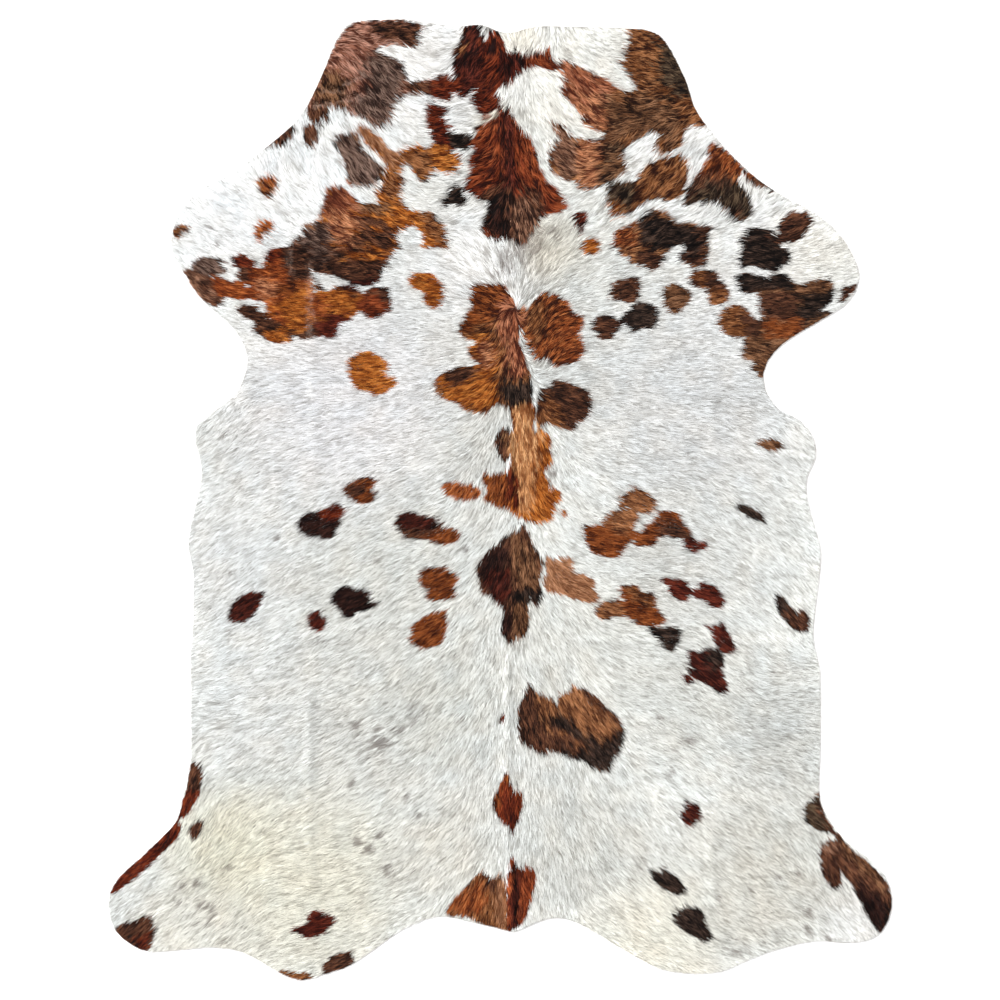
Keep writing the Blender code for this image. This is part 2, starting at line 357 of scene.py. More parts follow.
# the markings, each coat colour as its light, main and dark hairs, picked by a tone that also carries painted
# light and shade

coats = dict(
    white=((255, 255, 254), (244, 244, 241), (180, 177, 172)),
    cream=((252, 248, 238), (232, 225, 207), (176, 164, 146)),
    orange=((222, 142, 68), (174, 92, 33), (84, 38, 14)),
    tan=((242, 190, 138), (210, 148, 96), (132, 78, 44)),
    fawn=((206, 152, 114), (158, 106, 74), (100, 60, 38)),
    copper=((226, 160, 116), (178, 110, 74), (74, 34, 24)),
    rust=((208, 120, 64), (160, 76, 34), (78, 32, 15)),
    russet=((202, 122, 70), (154, 76, 36), (54, 24, 14)),
    sorrel=((172, 98, 52), (126, 62, 26), (46, 18, 10)),
    roseBrown=((202, 134, 100), (158, 88, 58), (72, 32, 22)),
    hazel=((198, 138, 94), (144, 91, 57), (60, 32, 20)),
    brown=((180, 122, 80), (128, 75, 40), (46, 22, 14)),
    sable=((162, 116, 84), (108, 70, 46), (32, 18, 12)),
    chestnut=((172, 90, 52), (130, 55, 27), (50, 18, 10)),
    redBrown=((142, 64, 35), (99, 35, 18), (34, 11, 8)),
    oxblood=((128, 58, 40), (82, 29, 19), (28, 9, 7)),
    bay=((112, 50, 36), (60, 23, 17), (22, 8, 7)),
    umber=((176, 130, 104), (124, 84, 64), (44, 26, 20)),
    dusty=((212, 160, 138), (160, 102, 80), (74, 40, 30)),
    darkBrown=((130, 84, 60), (80, 48, 35), (22, 12, 9)),
    smoke=((110, 90, 70), (62, 45, 34), (22, 15, 12)),
    greyBrown=((152, 124, 110), (94, 70, 60), (36, 24, 21)),
    jet=((72, 42, 34), (33, 16, 13), (8, 5, 5)),
    black=((86, 66, 56), (34, 24, 20), (8, 6, 6)),
)

markings = [
    # neck, left
    ("dusty", "307,107 326,66 347,27 379,20 411,21 422,30 420,44 412,49 395,46 379,49 385,55 403,64 "
     "408,78 412,83 430,80 446,74 457,78 457,92 449,100 435,98 422,94 408,96 398,102 395,115 387,128 "
     "378,128 366,121 358,118 344,111 331,110 327,121 317,124"),
    ("bay", "465,28 470,24 478,26 484,34 485,52 484,72 478,88 469,96 460,97 455,88 454,75 452,60 457,45 "
     "460,38"),
    ("redBrown", "478,36 485,38 496,31 501,38 508,51 513,49 518,50 526,52 535,52 545,49 551,54 556,64 "
     "563,64 560,70 551,72 543,69 532,68 522,71 515,78 512,84 501,88 496,94 502,101 505,108 512,111 "
     "515,119 521,127 526,133 531,141 535,149 540,166 546,181 557,190 566,205 560,213 550,214 542,218 "
     "535,229 527,243 517,246 511,239 498,241 485,234 483,220 487,206 476,197 466,190 468,178 471,168 "
     "470,160 473,150 470,142 476,135 481,122 480,115 474,106 472,98 476,88 474,72 477,55"),
    ("cream", "486,117 493,111 500,112 497,118 490,121 485,128 477,134 474,132 478,126"),
    ("redBrown", "428,104 434,102 440,107 448,108 446,114 444,119 450,125 452,134 462,140 458,150 446,152 "
     "436,148 430,134 427,118"),
    ("black", "450,131 460,133 470,132 475,138 470,150 458,149 450,144"),
    ("orange", "430,147 437,144 443,145 453,152 462,158 460,166 451,175 440,171 431,162"),
    # neck, right
    ("brown", "557,62 566,60 578,65 590,72 602,77 613,84 622,90 635,91 630,80 622,67 621,58 627,42 630,32 "
     "636,28 660,34 672,46 684,68 690,92 697,110 706,127 686,129 681,145 667,155 654,155 657,139 646,135 "
     "630,145 622,155 627,166 619,177 606,185 587,190 576,185 555,174 547,163 550,147 558,139 554,130 "
     "549,122 560,122 571,134 582,139 594,140 604,135 592,130 582,124 579,112 570,103 561,93 563,82 "
     "560,72"),
    ("brown", "608,187 619,182 633,182 638,176 643,171 652,163 665,158 681,155 688,166 687,178 685,187 "
     "678,200 662,201 646,202 635,212 625,216 614,217 608,209 605,196"),
    # right shoulder
    ("darkBrown", "710,144 719,146 730,155 743,169 738,178 740,187 748,193 752,204 750,214 742,222 "
     "732,220 722,210 712,203 700,203 690,206 681,206 684,193 694,179 704,166 707,152"),
    ("darkBrown", "742,168 754,176 768,185 780,193 764,190 750,186 744,178"),
    ("darkBrown", "775,238 777,230 781,221 786,214 794,212 801,212 808,213 813,221 809,227 806,232 "
     "801,240 795,242 787,242 781,242"),
    ("black", "738,242 741,236 746,236 747,229 753,228 759,227 766,228 773,229 774,236 783,239 779,245 "
     "786,249 790,254 790,260 784,264 777,272 770,272 765,270 754,266 746,268 738,267 741,255"),
    ("sable", "734,282 737,275 747,272 762,277 775,274 786,274 791,280 800,284 808,282 816,280 829,279 "
     "833,288 833,299 828,305 820,311 832,313 820,325 802,340 792,352 779,366 762,378 753,370 752,362 "
     "743,358 742,350 744,340 750,332 752,324 760,318 760,309 759,298 752,293 744,294"),
    ("brown", "718,318 722,310 730,306 740,306 750,312 757,320 758,334 748,338 736,337 722,332"),
    ("darkBrown", "840,298 842,290 850,285 857,283 854,292 848,298 842,303"),
    ("hazel", "613,233 618,229 624,226 632,224 640,220 646,213 657,209 667,213 678,223 690,222 700,225 "
     "712,228 708,239 709,248 708,255 705,263 695,268 686,266 680,262 678,255 683,247 673,247 665,255 "
     "663,263 654,271 643,268 634,264 627,260 616,250"),
    ("darkBrown", "678,256 684,250 694,249 702,252 708,258 706,265 698,267 688,265 681,262"),
    ("redBrown", "573,216 579,211 586,214 586,222 583,232 577,230 575,222"),
    ("orange", "581,246 586,240 594,238 600,244 598,252 592,256 584,253"),
    ("darkBrown", "607,294 612,287 618,281 628,277 639,278 641,288 638,299 628,303 618,302 612,298"),
    ("sable", "663,290 668,285 675,283 684,287 692,294 690,302 683,308 678,314 670,313 664,304"),
    ("brown", "688,280 691,274 698,271 706,270 715,272 719,277 722,282 728,288 729,298 722,305 711,305 "
     "706,299 707,291 699,288 691,286"),
    ("darkBrown", "592,324 598,317 608,315 616,320 622,325 617,332 612,339 602,339 596,333"),
    ("black", "620,318 628,310 636,303 646,304 657,306 658,316 657,326 652,331 642,328 634,333 626,326"),
    # left shoulder
    ("greyBrown", "337,135 347,133 357,134 360,142 364,151 375,160 386,170 381,180 373,187 362,186 "
     "352,185 347,180 346,170 341,158 335,143"),
    ("orange", "357,127 366,127 375,134 384,140 391,151 400,153 405,149 415,145 430,149 440,152 446,160 "
     "446,170 434,171 431,179 422,182 414,176 407,163 403,172 404,186 403,202 410,210 420,213 431,213 "
     "440,222 446,232 448,246 436,248 422,247 424,236 415,228 405,231 398,236 400,246 391,258 385,270 "
     "378,282 362,286 350,283 334,276 320,274 306,268 296,260 290,246 300,236 304,226 316,222 322,212 "
     "325,200 327,190 337,186 347,190 357,200 366,203 377,202 375,192 381,186 385,176 387,167 378,156 "
     "368,147 362,140"),
    ("greyBrown", "191,264 197,259 205,257 218,258 226,262 222,266 228,271 222,276 212,277 202,276 "
     "195,272"),
    ("umber", "183,271 192,269 202,274 210,278 220,277 230,280 240,282 249,287 256,290 254,300 240,300 "
     "226,299 224,304 217,307 206,303 196,294 188,283"),
    ("darkBrown", "232,257 241,254 249,258 259,264 253,268 258,276 255,285 246,285 237,277 239,269 "
     "235,266"),
    ("rust", "250,270 262,267 266,256 274,249 286,247 300,245 310,250 314,262 312,276 315,290 316,304 "
     "315,322 303,330 290,329 279,324 268,317 264,304 250,300 246,292 248,282"),
    ("black", "289,250 296,243 306,242 314,248 318,258 314,268 306,274 296,272 290,262"),
    ("orange", "312,296 318,291 330,290 336,286 346,285 358,288 364,298 360,310 352,318 342,324 336,335 "
     "326,337 314,335 308,322"),
    ("chestnut", "361,298 367,290 380,286 389,290 393,302 386,313 371,319 362,312 356,305"),
    ("darkBrown", "235,309 246,305 256,304 262,311 272,319 284,325 296,323 306,326 318,320 330,322 "
     "340,324 338,335 328,338 316,336 306,340 294,336 288,342 274,343 262,337 252,330 254,322 246,318"),
    ("darkBrown", "314,286 320,283 324,288 318,292"),
    ("brown", "258,182 262,178 270,175 278,178 279,186 276,193 270,198 264,196 259,190"),
    ("russet", "255,232 257,225 263,220 271,221 273,229 267,236 262,242 256,240"),
    ("brown", "173,232 178,226 186,224 190,230 184,235 176,239"),
    ("darkBrown", "277,133 284,128 294,126 296,134 290,141 282,145 270,148 264,149 268,142 275,138"),
    ("darkBrown", "303,136 304,128 311,125 318,130 320,136 316,144 310,148 305,143"),
    ("darkBrown", "307,112 314,107 326,108 332,113 328,121 320,126 312,125"),
    ("orange", "408,281 412,275 422,272 435,275 441,284 445,297 440,305 434,309 425,303 422,292 413,288"),
    ("orange", "347,366 350,358 360,353 374,353 383,359 388,365 386,374 396,380 393,388 386,393 377,396 "
     "366,392 354,387 350,378"),
    ("black", "442,204 448,193 452,182 459,187 466,200 464,207 455,205 446,207"),
    # down the back
    ("brown", "473,285 480,283 487,284 504,284 508,292 515,303 524,308 529,313 527,326 519,336 521,345 "
     "525,355 528,366 531,378 533,400 531,430 513,430 510,412 496,405 484,414 468,412 456,404 440,397 "
     "435,388 437,379 444,372 456,367 470,365 479,364 471,358 468,350 476,341 465,339 458,330 462,320 "
     "469,309 470,298"),
    ("russet", "526,313 533,302 538,296 543,292 555,295 567,301 574,313 584,320 581,333 582,341 586,348 "
     "580,358 574,364 565,365 555,369 546,361 538,361 531,351 524,338 523,326"),
    ("darkBrown", "536,412 538,400 542,391 552,383 560,381 575,385 590,393 592,408 588,418 580,423 "
     "572,431 560,428 548,425 540,428 536,422"),
    ("orange", "511,430 512,405 535,405 534,424 536,430 545,432 552,440 550,450 553,459 550,467 543,474 "
     "549,480 550,488 559,489 562,496 557,505 555,512 552,520 539,524 529,523 518,517 507,510 494,506 "
     "484,499 487,491 482,478 487,473 508,470"),
    ("darkBrown", "495,442 498,434 504,429 511,428 512,444 510,458 504,462 498,456"),
    ("russet", "441,488 446,483 455,482 464,485 474,486 482,490 478,498 468,501 456,499 446,495"),
    ("orange", "560,513 564,510 568,514 565,518"),
    ("darkBrown", "522,524 528,531 532,541 537,549 541,557 543,567 540,580 543,598 536,606 529,602 "
     "529,616 528,628 524,637 517,639 510,646 506,639 501,633 503,619 503,611 499,608 493,598 486,596 "
     "480,590 479,583 476,572 480,562 487,551 493,546 499,543 502,536 512,534"),
    ("fawn", "546,558 552,557 559,562 561,557 571,557 574,565 574,572 586,575 595,581 594,589 600,596 "
     "596,602 588,603 577,601 566,596 556,594 546,591 543,584 545,572"),
    # right flank
    ("hazel", "618,500 628,494 634,487 645,492 655,499 656,508 649,513 637,512 629,508 619,507"),
    ("sorrel", "584,528 595,526 602,522 607,514 617,509 629,508 638,512 637,523 633,529 638,534 630,542 "
     "623,552 614,559 602,556 591,551 586,541"),
    ("sorrel", "652,520 658,512 670,510 679,514 683,522 690,530 691,538 678,538 666,537 657,538 656,545 "
     "645,547 636,545 635,538 640,533 646,528"),
    ("oxblood", "681,539 690,536 696,540 706,542 707,549 699,550 695,553 689,550"),
    ("oxblood", "662,579 678,579 687,581 691,589 697,587 702,582 713,585 720,591 725,602 721,608 712,607 "
     "704,600 696,599 690,595 686,601 679,601 673,595"),
    ("sorrel", "593,610 599,605 607,601 617,598 623,600 620,593 618,588 626,584 635,584 642,593 652,592 "
     "656,600 656,607 665,618 660,625 650,627 640,625 628,618 618,616 608,620 598,618"),
    ("black", "647,629 655,627 668,628 679,629 681,636 677,648 672,652 664,647 656,638"),
    ("oxblood", "704,625 712,627 722,624 727,630 733,640 735,650 730,655 722,652 714,642 711,634"),
    ("bay", "686,651 697,651 706,649 717,649 724,655 725,665 722,671 727,682 729,689 721,695 712,688 "
     "700,682 690,674 689,662"),
    ("bay", "684,676 691,672 694,680 691,685 685,680"),
    ("sable", "756,445 762,440 770,439 779,441 783,448 774,451 764,450"),
    ("black", "735,507 742,505 752,508 761,512 766,520 765,524 756,520 746,516"),
    ("darkBrown", "774,598 783,597 790,606 797,611 805,611 810,620 809,630 802,634 792,628 784,620 "
     "778,612"),
    ("hazel", "529,683 534,689 537,691 546,697 557,704 559,697 565,692 573,688 586,689 598,698 608,708 "
     "619,718 624,729 624,738 621,750 614,762 612,769 608,772 597,771 581,761 569,758 552,751 546,755 "
     "538,753 529,748 520,741 518,729 519,706 524,695"),
    # left flank
    ("sorrel", "343,490 350,483 358,479 369,478 378,481 373,488 376,496 368,503 358,504 350,498"),
    ("jet", "296,525 304,515 314,511 324,510 330,506 339,504 346,511 341,517 344,523 337,529 334,536 "
     "326,539 315,537 305,536"),
    ("darkBrown", "395,522 400,514 410,512 420,513 429,515 438,521 446,527 456,530 458,540 450,544 "
     "440,545 428,541 415,539 404,538 398,530"),
    ("sorrel", "418,574 421,570 430,567 445,567 453,573 459,580 454,588 455,597 444,600 434,601 426,598 "
     "427,590 419,584"),
    ("sorrel", "408,640 412,635 412,626 420,619 430,613 440,610 448,612 446,620 448,628 444,638 440,645 "
     "430,648 418,648"),
    ("bay", "228,612 234,602 244,595 256,591 265,592 260,604 255,614 248,621 236,623 230,620"),
    ("jet", "329,600 334,592 346,585 353,588 361,590 370,592 370,599 379,604 368,610 358,613 350,618 "
     "342,615 336,607"),
    ("oxblood", "308,618 312,612 319,611 323,617 327,622 324,630 317,632 310,628"),
    # hind part
    ("sorrel", "507,773 512,783 516,791 518,786 523,796 521,812 513,834 508,826 500,820 495,810 494,798 "
     "499,785"),
    ("redBrown", "500,719 503,713 506,718 502,724"),
    ("brown", "445,914 450,904 458,895 466,887 471,879 480,872 488,875 494,877 500,874 505,880 507,900 "
     "507,930 494,929 478,922 464,917"),
    ("chestnut", "511,857 515,864 520,868 526,865 535,872 536,881 531,899 528,913 522,924 512,930 507,930 "
     "506,892 508,872"),
    ("redBrown", "189,768 193,763 199,763 202,770 201,790 197,800 193,808 186,816 178,820 174,814 178,806 "
     "186,790"),
    ("redBrown", "178,819 182,828 178,837 168,847 157,859 144,871 129,883 111,895 112,880 128,862 146,846 "
     "164,830"),
    ("darkBrown", "189,834 190,826 195,821 204,819 203,828 198,837 192,840"),
    ("darkBrown", "115,930 124,922 136,920 144,917 152,914 154,924 156,932 148,951 132,946 120,940"),
    ("oxblood", "291,930 298,926 306,922 308,914 312,911 320,910 328,914 335,919 332,926 326,932 318,936 "
     "308,938 298,934"),
    ("darkBrown", "322,967 327,960 336,954 349,952 354,960 346,969 334,973 324,974"),
    ("brown", "279,970 288,971 296,973 304,972 313,978 298,982 286,978"),
    ("bay", "680,812 684,807 686,801 692,804 698,804 701,818 692,826 682,822"),
    ("black", "648,870 657,871 665,869 674,874 682,882 688,891 679,895 667,892 657,884"),
    ("black", "672,917 679,909 688,906 699,908 705,916 706,924 713,937 706,942 696,938 686,932 677,926"),
    ("smoke", "804,811 809,803 816,796 820,793 824,812 836,834 826,833 814,828 805,820"),
    ("darkBrown", "818,858 822,845 828,840 834,838 838,832 847,845 866,861 882,875 891,893 892,909 "
     "882,932 868,919 861,903 852,887 842,872 842,885 836,889 828,884 822,873"),
]

# Darker and lighter parts of the markings, with how gradually each gives way (in squares)
tones = [
    # neck
    ("greyBrown", 4, "365,62 386,52 404,64 410,80 404,98 396,116 388,129 376,126 360,117 352,106 358,98 "
     "366,88"),
    ("darkBrown", 3, "372,22 423,20 424,44 412,50 396,44 380,38"),
    ("sable", 5, "312,94 328,72 344,76 350,92 342,108 320,110"),
    ("redBrown", 2, "430,80 446,74 458,76 458,100 440,100 428,94"),
    ("darkBrown", 3, "402,84 426,82 430,96 412,99"),
    ("brown", 2, "456,36 466,38 468,52 458,56"),
    ("bay", 6, "508,50 520,50 529,58 527,70 516,80 508,84 503,74 506,60"),
    ("chestnut", 3, "530,50 548,48 556,60 550,72 530,68"),
    ("bay", 3, "472,40 482,48 484,80 478,92 470,86"),
    ("bay", 4, "504,104 514,114 517,150 517,200 501,200 500,150 501,116"),
    ("chestnut", 5, "517,120 532,140 540,166 546,182 530,190 522,170 518,140"),
    ("chestnut", 6, "480,120 498,124 500,152 494,186 478,188 472,168 476,140"),
    ("darkBrown", 4, "482,196 500,188 516,190 538,186 548,204 542,236 520,246 500,242 486,232"),
    ("jet", 4, "486,204 508,196 511,240 496,238 486,226"),
    ("umber", 4, "514,204 522,200 534,206 538,224 530,242 516,238"),
    ("chestnut", 4, "540,184 558,188 566,206 552,214 546,206"),
    ("roseBrown", 5, "558,62 578,66 600,78 614,86 612,104 600,112 582,120 566,100 562,84"),
    ("copper", 4, "576,102 602,98 611,112 608,132 590,130 578,120"),
    ("copper", 5, "574,140 600,138 606,156 602,182 586,188 574,172"),
    ("umber", 4, "548,122 560,124 572,134 576,150 572,180 556,172 548,150"),
    ("smoke", 4, "602,140 626,148 624,188 602,188"),
    ("sable", 6, "608,98 640,94 664,96 690,100 698,116 682,130 668,156 656,140 640,136 616,148 628,166 "
     "610,180 604,164 604,118"),
    ("smoke", 5, "658,38 676,48 690,72 697,102 680,100 660,88 656,66"),
    ("brown", 4, "676,102 698,106 706,126 690,128"),
    ("smoke", 3, "606,186 622,183 632,184 634,196 628,212 616,214 606,204"),
    ("orange", 3, "606,206 618,206 618,218 608,217"),
    ("russet", 4, "704,136 730,144 752,163 746,181 730,177 704,173 697,156"),
    ("smoke", 5, "690,194 726,184 752,192 756,216 744,224 722,212 690,208"),
    ("darkBrown", 3, "768,238 778,230 788,232 786,242 774,244"),
    ("black", 3, "730,284 740,272 756,274 772,272 788,272 796,284 790,292 770,293 752,292 738,294"),
    ("black", 4, "790,298 808,292 836,286 836,302 822,314 804,324 788,324 784,312 798,302"),
    ("sable", 3, "796,286 810,282 830,280 832,288 812,292 796,294"),
    ("darkBrown", 4, "758,292 784,290 798,302 790,320 764,322 758,308"),
    ("sorrel", 4, "764,322 802,322 798,336 764,334"),
    ("darkBrown", 3, "704,270 722,275 725,287 711,288"),
    ("darkBrown", 3, "744,306 752,308 760,320 758,336 748,338 744,322"),
    ("black", 4, "646,212 662,214 684,222 712,228 708,248 694,256 668,250 652,254 640,240 634,224"),
    ("darkBrown", 3, "640,252 660,254 668,262 658,272 642,268"),
    ("russet", 4, "610,238 626,226 634,228 632,244 620,248"),
    ("darkBrown", 3, "700,224 714,228 712,244 702,246"),
    # left shoulder
    ("darkBrown", 4, "308,266 314,256 326,258 338,256 352,258 366,256 380,262 394,264 392,280 372,292 "
     "350,294 330,284 314,278"),
    ("bay", 3, "340,280 352,282 376,276 380,282 352,292 342,288"),
    ("darkBrown", 4, "314,244 346,242 348,262 330,272 314,268"),
    ("black", 3, "308,246 322,244 326,258 312,262"),
    ("sable", 3, "352,202 366,200 386,203 388,211 376,216 356,213"),
    ("darkBrown", 5, "330,238 350,232 372,228 392,226 400,236 390,252 366,250 350,252 334,250"),
    ("darkBrown", 4, "340,222 366,216 386,222 384,230 356,228"),
    ("roseBrown", 5, "322,208 327,188 338,184 350,192 358,206 352,218 330,220"),
    ("copper", 5, "328,214 350,214 356,230 348,244 332,246 324,230"),
    ("greyBrown", 5, "300,228 318,222 330,236 328,258 314,264 302,250 296,240"),
    ("brown", 4, "386,156 404,154 402,176 404,198 390,200 378,190 386,176"),
    ("fawn", 4, "357,127 368,127 384,142 396,155 388,166 372,150 360,138"),
    ("brown", 3, "408,152 422,150 434,158 432,176 420,182 410,170"),
    ("brown", 3, "424,214 436,216 446,232 448,246 434,240 424,228"),
    ("orange", 4, "286,288 300,284 316,284 318,322 302,330 288,328 280,314 268,312 264,306 280,304"),
    ("copper", 4, "252,284 266,280 284,284 278,294 262,300 252,296"),
    ("darkBrown", 3, "282,248 300,246 314,252 314,270 304,282 296,290 284,288 288,276 282,262"),
    ("sorrel", 3, "280,286 296,282 306,286 292,296 280,298"),
    ("redBrown", 3, "262,252 276,248 282,256 274,264 262,264"),
    ("rust", 2, "212,278 232,281 257,290 254,301 236,300 216,296"),
    ("darkBrown", 3, "204,278 212,282 212,292 226,300 214,306 206,298 198,286"),
    ("redBrown", 3, "234,255 250,257 256,264 244,267 236,264"),
    ("darkBrown", 3, "378,284 392,288 396,302 384,304"),
    ("rust", 3, "312,294 322,297 328,310 320,318 312,318"),
    ("orange", 2, "266,332 282,330 290,338 284,344 268,341"),
    ("oxblood", 4, "314,320 342,314 350,322 342,336 320,340"),
    ("russet", 3, "262,178 272,175 276,182 266,190"),
    # down the back
    ("sorrel", 3, "472,286 506,284 512,298 500,316 480,324 464,330 468,306"),
    ("roseBrown", 6, "502,296 516,304 532,316 524,334 527,352 527,376 511,378 504,350 498,324"),
    ("orange", 4, "470,340 490,338 498,352 494,376 484,380 474,364"),
    ("orange", 4, "438,378 470,372 498,382 504,398 490,410 466,410 444,398"),
    ("darkBrown", 4, "448,370 470,367 474,378 462,386 448,384"),
    ("copper", 4, "477,346 492,344 494,362 482,368"),
    ("black", 4, "498,386 510,380 530,378 534,396 526,410 512,410 502,404"),
    ("tan", 3, "514,410 532,406 534,430 514,432"),
    ("brown", 4, "526,314 538,298 546,310 544,336 536,350 526,334"),
    ("brown", 4, "536,404 548,398 562,412 560,428 546,426 536,420"),
    ("tan", 5, "511,430 538,428 538,454 533,480 530,508 518,512 512,490 511,460"),
    ("sorrel", 5, "484,476 512,474 516,490 514,506 494,506 482,490"),
    ("redBrown", 4, "506,474 516,474 520,508 510,508"),
    ("sable", 5, "512,538 528,540 540,562 540,590 528,594 512,580"),
    ("jet", 4, "478,556 496,544 510,546 508,568 496,576 480,580"),
    ("bay", 4, "486,576 508,570 512,592 500,604 488,596"),
    ("black", 3, "516,590 540,590 542,602 530,604 514,602"),
    ("sable", 4, "512,606 528,606 528,626 516,642 511,632"),
    ("jet", 3, "496,610 511,610 512,628 506,644 498,634"),
    ("darkBrown", 4, "516,706 528,680 538,696 540,716 540,740 524,748 514,726"),
    ("darkBrown", 4, "584,684 600,696 622,716 628,738 614,744 612,724 602,708 588,697"),
    ("black", 4, "540,718 556,714 570,721 585,732 600,738 628,732 626,748 602,750 584,744 568,735 552,728"),
    ("darkBrown", 5, "536,728 560,732 584,746 606,748 600,764 570,758 546,750"),
    ("black", 4, "556,752 580,750 600,744 628,738 620,760 614,774 598,774 580,764 564,759"),
    ("darkBrown", 4, "520,736 546,738 552,754 540,758 522,748"),
    # flanks
    ("hazel", 3, "606,512 622,506 638,508 638,524 624,532 610,526"),
    ("darkBrown", 3, "658,524 676,520 692,534 676,540 660,536"),
    ("hazel", 3, "590,608 606,600 620,600 622,612 604,622"),
    ("brown", 3, "626,586 640,588 654,596 658,606 640,604"),
    ("black", 3, "708,652 724,652 724,664 714,670 706,662"),
    ("black", 3, "772,598 786,600 790,610 782,614 774,608"),
    ("redBrown", 3, "322,510 346,505 346,514 330,522"),
    ("sorrel", 3, "424,536 440,531 456,529 459,541 446,547 426,545"),
    ("bay", 3, "398,514 420,512 436,520 430,530 404,528"),
    ("bay", 3, "712,636 726,634 732,646 722,652"),
    ("darkBrown", 3, "346,486 362,482 366,494 352,498"),
    # hind part
    ("redBrown", 4, "500,792 512,784 522,800 514,834 502,824"),
    ("russet", 4, "448,908 462,892 478,880 486,890 484,912 466,914"),
    ("fawn", 4, "494,878 504,882 506,926 496,922"),
    ("darkBrown", 3, "486,876 496,878 498,892 490,888"),
    ("bay", 3, "514,868 520,870 518,926 510,929 510,890"),
    ("sable", 4, "838,834 852,848 874,868 888,888 890,904 876,884 858,868 842,850"),
    ("jet", 5, "860,886 880,896 892,914 884,936 868,922 856,902"),
    ("umber", 3, "822,840 837,840 838,852 824,852"),
    ("darkBrown", 3, "818,796 826,796 840,832 828,830"),
    ("darkBrown", 2, "188,762 204,762 203,786 188,790"),
    ("redBrown", 3, "134,940 150,936 148,951 138,948"),
]

# Soft changes in the white: middle, radius in squares, colour of the hair there
whites = [
    (430, 60, 70, (255, 255, 254)), (560, 100, 45, (253, 251, 243)), (690, 150, 60, (255, 255, 253)),
    (800, 220, 60, (254, 254, 251)), (750, 300, 50, (252, 252, 250)), (290, 170, 70, (252, 254, 255)),
    (215, 220, 50, (252, 254, 255)), (470, 265, 45, (252, 252, 251)), (548, 245, 24, (234, 227, 210)),
    (495, 118, 14, (240, 230, 208)), (590, 45, 30, (250, 248, 240)), (516, 38, 16, (242, 236, 220)),
    (340, 400, 80, (244, 243, 245)), (700, 400, 80, (227, 228, 228)), (220, 560, 60, (245, 247, 246)),
    (250, 690, 60, (242, 244, 242)), (790, 740, 50, (214, 216, 212)), (300, 880, 70, (243, 240, 222)),
    (230, 850, 40, (240, 236, 212)), (200, 930, 40, (243, 240, 228)), (770, 880, 60, (216, 214, 204)),
    (650, 945, 50, (238, 234, 218)), (440, 860, 40, (240, 238, 228)), (400, 600, 80, (236, 237, 231)),
    (600, 660, 60, (232, 232, 225)), (340, 700, 70, (236, 236, 230)), (860, 920, 30, (240, 240, 238)),
    (590, 850, 50, (222, 222, 215)), (700, 560, 60, (226, 227, 223)), (430, 700, 50, (226, 228, 221)),
    (820, 255, 30, (250, 247, 236)), (690, 700, 50, (222, 223, 217)), (500, 450, 40, (232, 233, 228)),
]
whiteBase = (238, 240, 236)

# Roan hairs in the white: middle, radius in squares, share of locks that are grey-brown
roan = [
    (530, 244, 20, 0.36), (512, 254, 16, 0.28), (500, 270, 14, 0.20), (556, 236, 14, 0.22),
    (390, 725, 42, 0.12), (370, 745, 18, 0.20), (415, 705, 12, 0.22), (350, 660, 20, 0.08),
    (370, 860, 26, 0.10), (400, 880, 24, 0.10), (190, 890, 20, 0.10), (210, 915, 22, 0.14),
    (230, 945, 16, 0.14), (680, 755, 40, 0.07), (650, 860, 16, 0.08), (800, 925, 24, 0.10),
    (760, 755, 22, 0.12), (775, 690, 30, 0.08), (760, 660, 24, 0.07), (560, 450, 26, 0.08),
    (330, 560, 50, 0.05), (460, 560, 24, 0.06), (740, 945, 20, 0.14), (450, 300, 14, 0.08),
    (600, 480, 30, 0.05), (440, 660, 16, 0.10), (276, 537, 5, 0.50), (223, 435, 3, 0.80),
    (466, 549, 3, 1.00), (809, 911, 4, 0.90), (752, 891, 3, 0.90), (718, 899, 4, 0.80),
    (631, 881, 3, 0.80), (552, 474, 3, 1.00), (217, 244, 3, 0.90), (212, 227, 3, 0.70),
    (230, 573, 3, 0.80), (230, 632, 4, 0.70), (352, 785, 5, 0.60), (406, 797, 4, 0.60),
    (357, 841, 5, 0.80), (370, 850, 5, 0.70), (378, 836, 4, 0.70), (386, 868, 5, 0.70),
    (417, 815, 5, 0.50), (265, 831, 4, 0.60), (228, 868, 4, 0.60), (182, 886, 4, 0.60),
    (196, 884, 4, 0.60), (200, 905, 5, 0.50), (212, 912, 5, 0.50), (178, 903, 4, 0.50),
    (355, 725, 5, 0.60), (400, 730, 6, 0.50), (412, 720, 5, 0.50), (380, 745, 6, 0.50),
    (460, 720, 5, 0.40), (430, 755, 5, 0.40), (797, 873, 3, 0.80), (780, 877, 3, 0.60),
    (808, 930, 4, 0.60), (828, 938, 4, 0.60), (735, 948, 8, 0.35), (752, 690, 5, 0.35),
    (690, 740, 6, 0.35), (660, 720, 6, 0.35), (615, 745, 5, 0.30), (670, 775, 6, 0.30),
    (318, 640, 8, 0.30), (362, 632, 7, 0.25), (375, 560, 4, 0.40), (640, 866, 8, 0.25),
]

roanLook = dict(colour=(112, 100, 93), cover=0.68, gain=1.3, start=0.12, softness=0.22, lockShare=0.6)
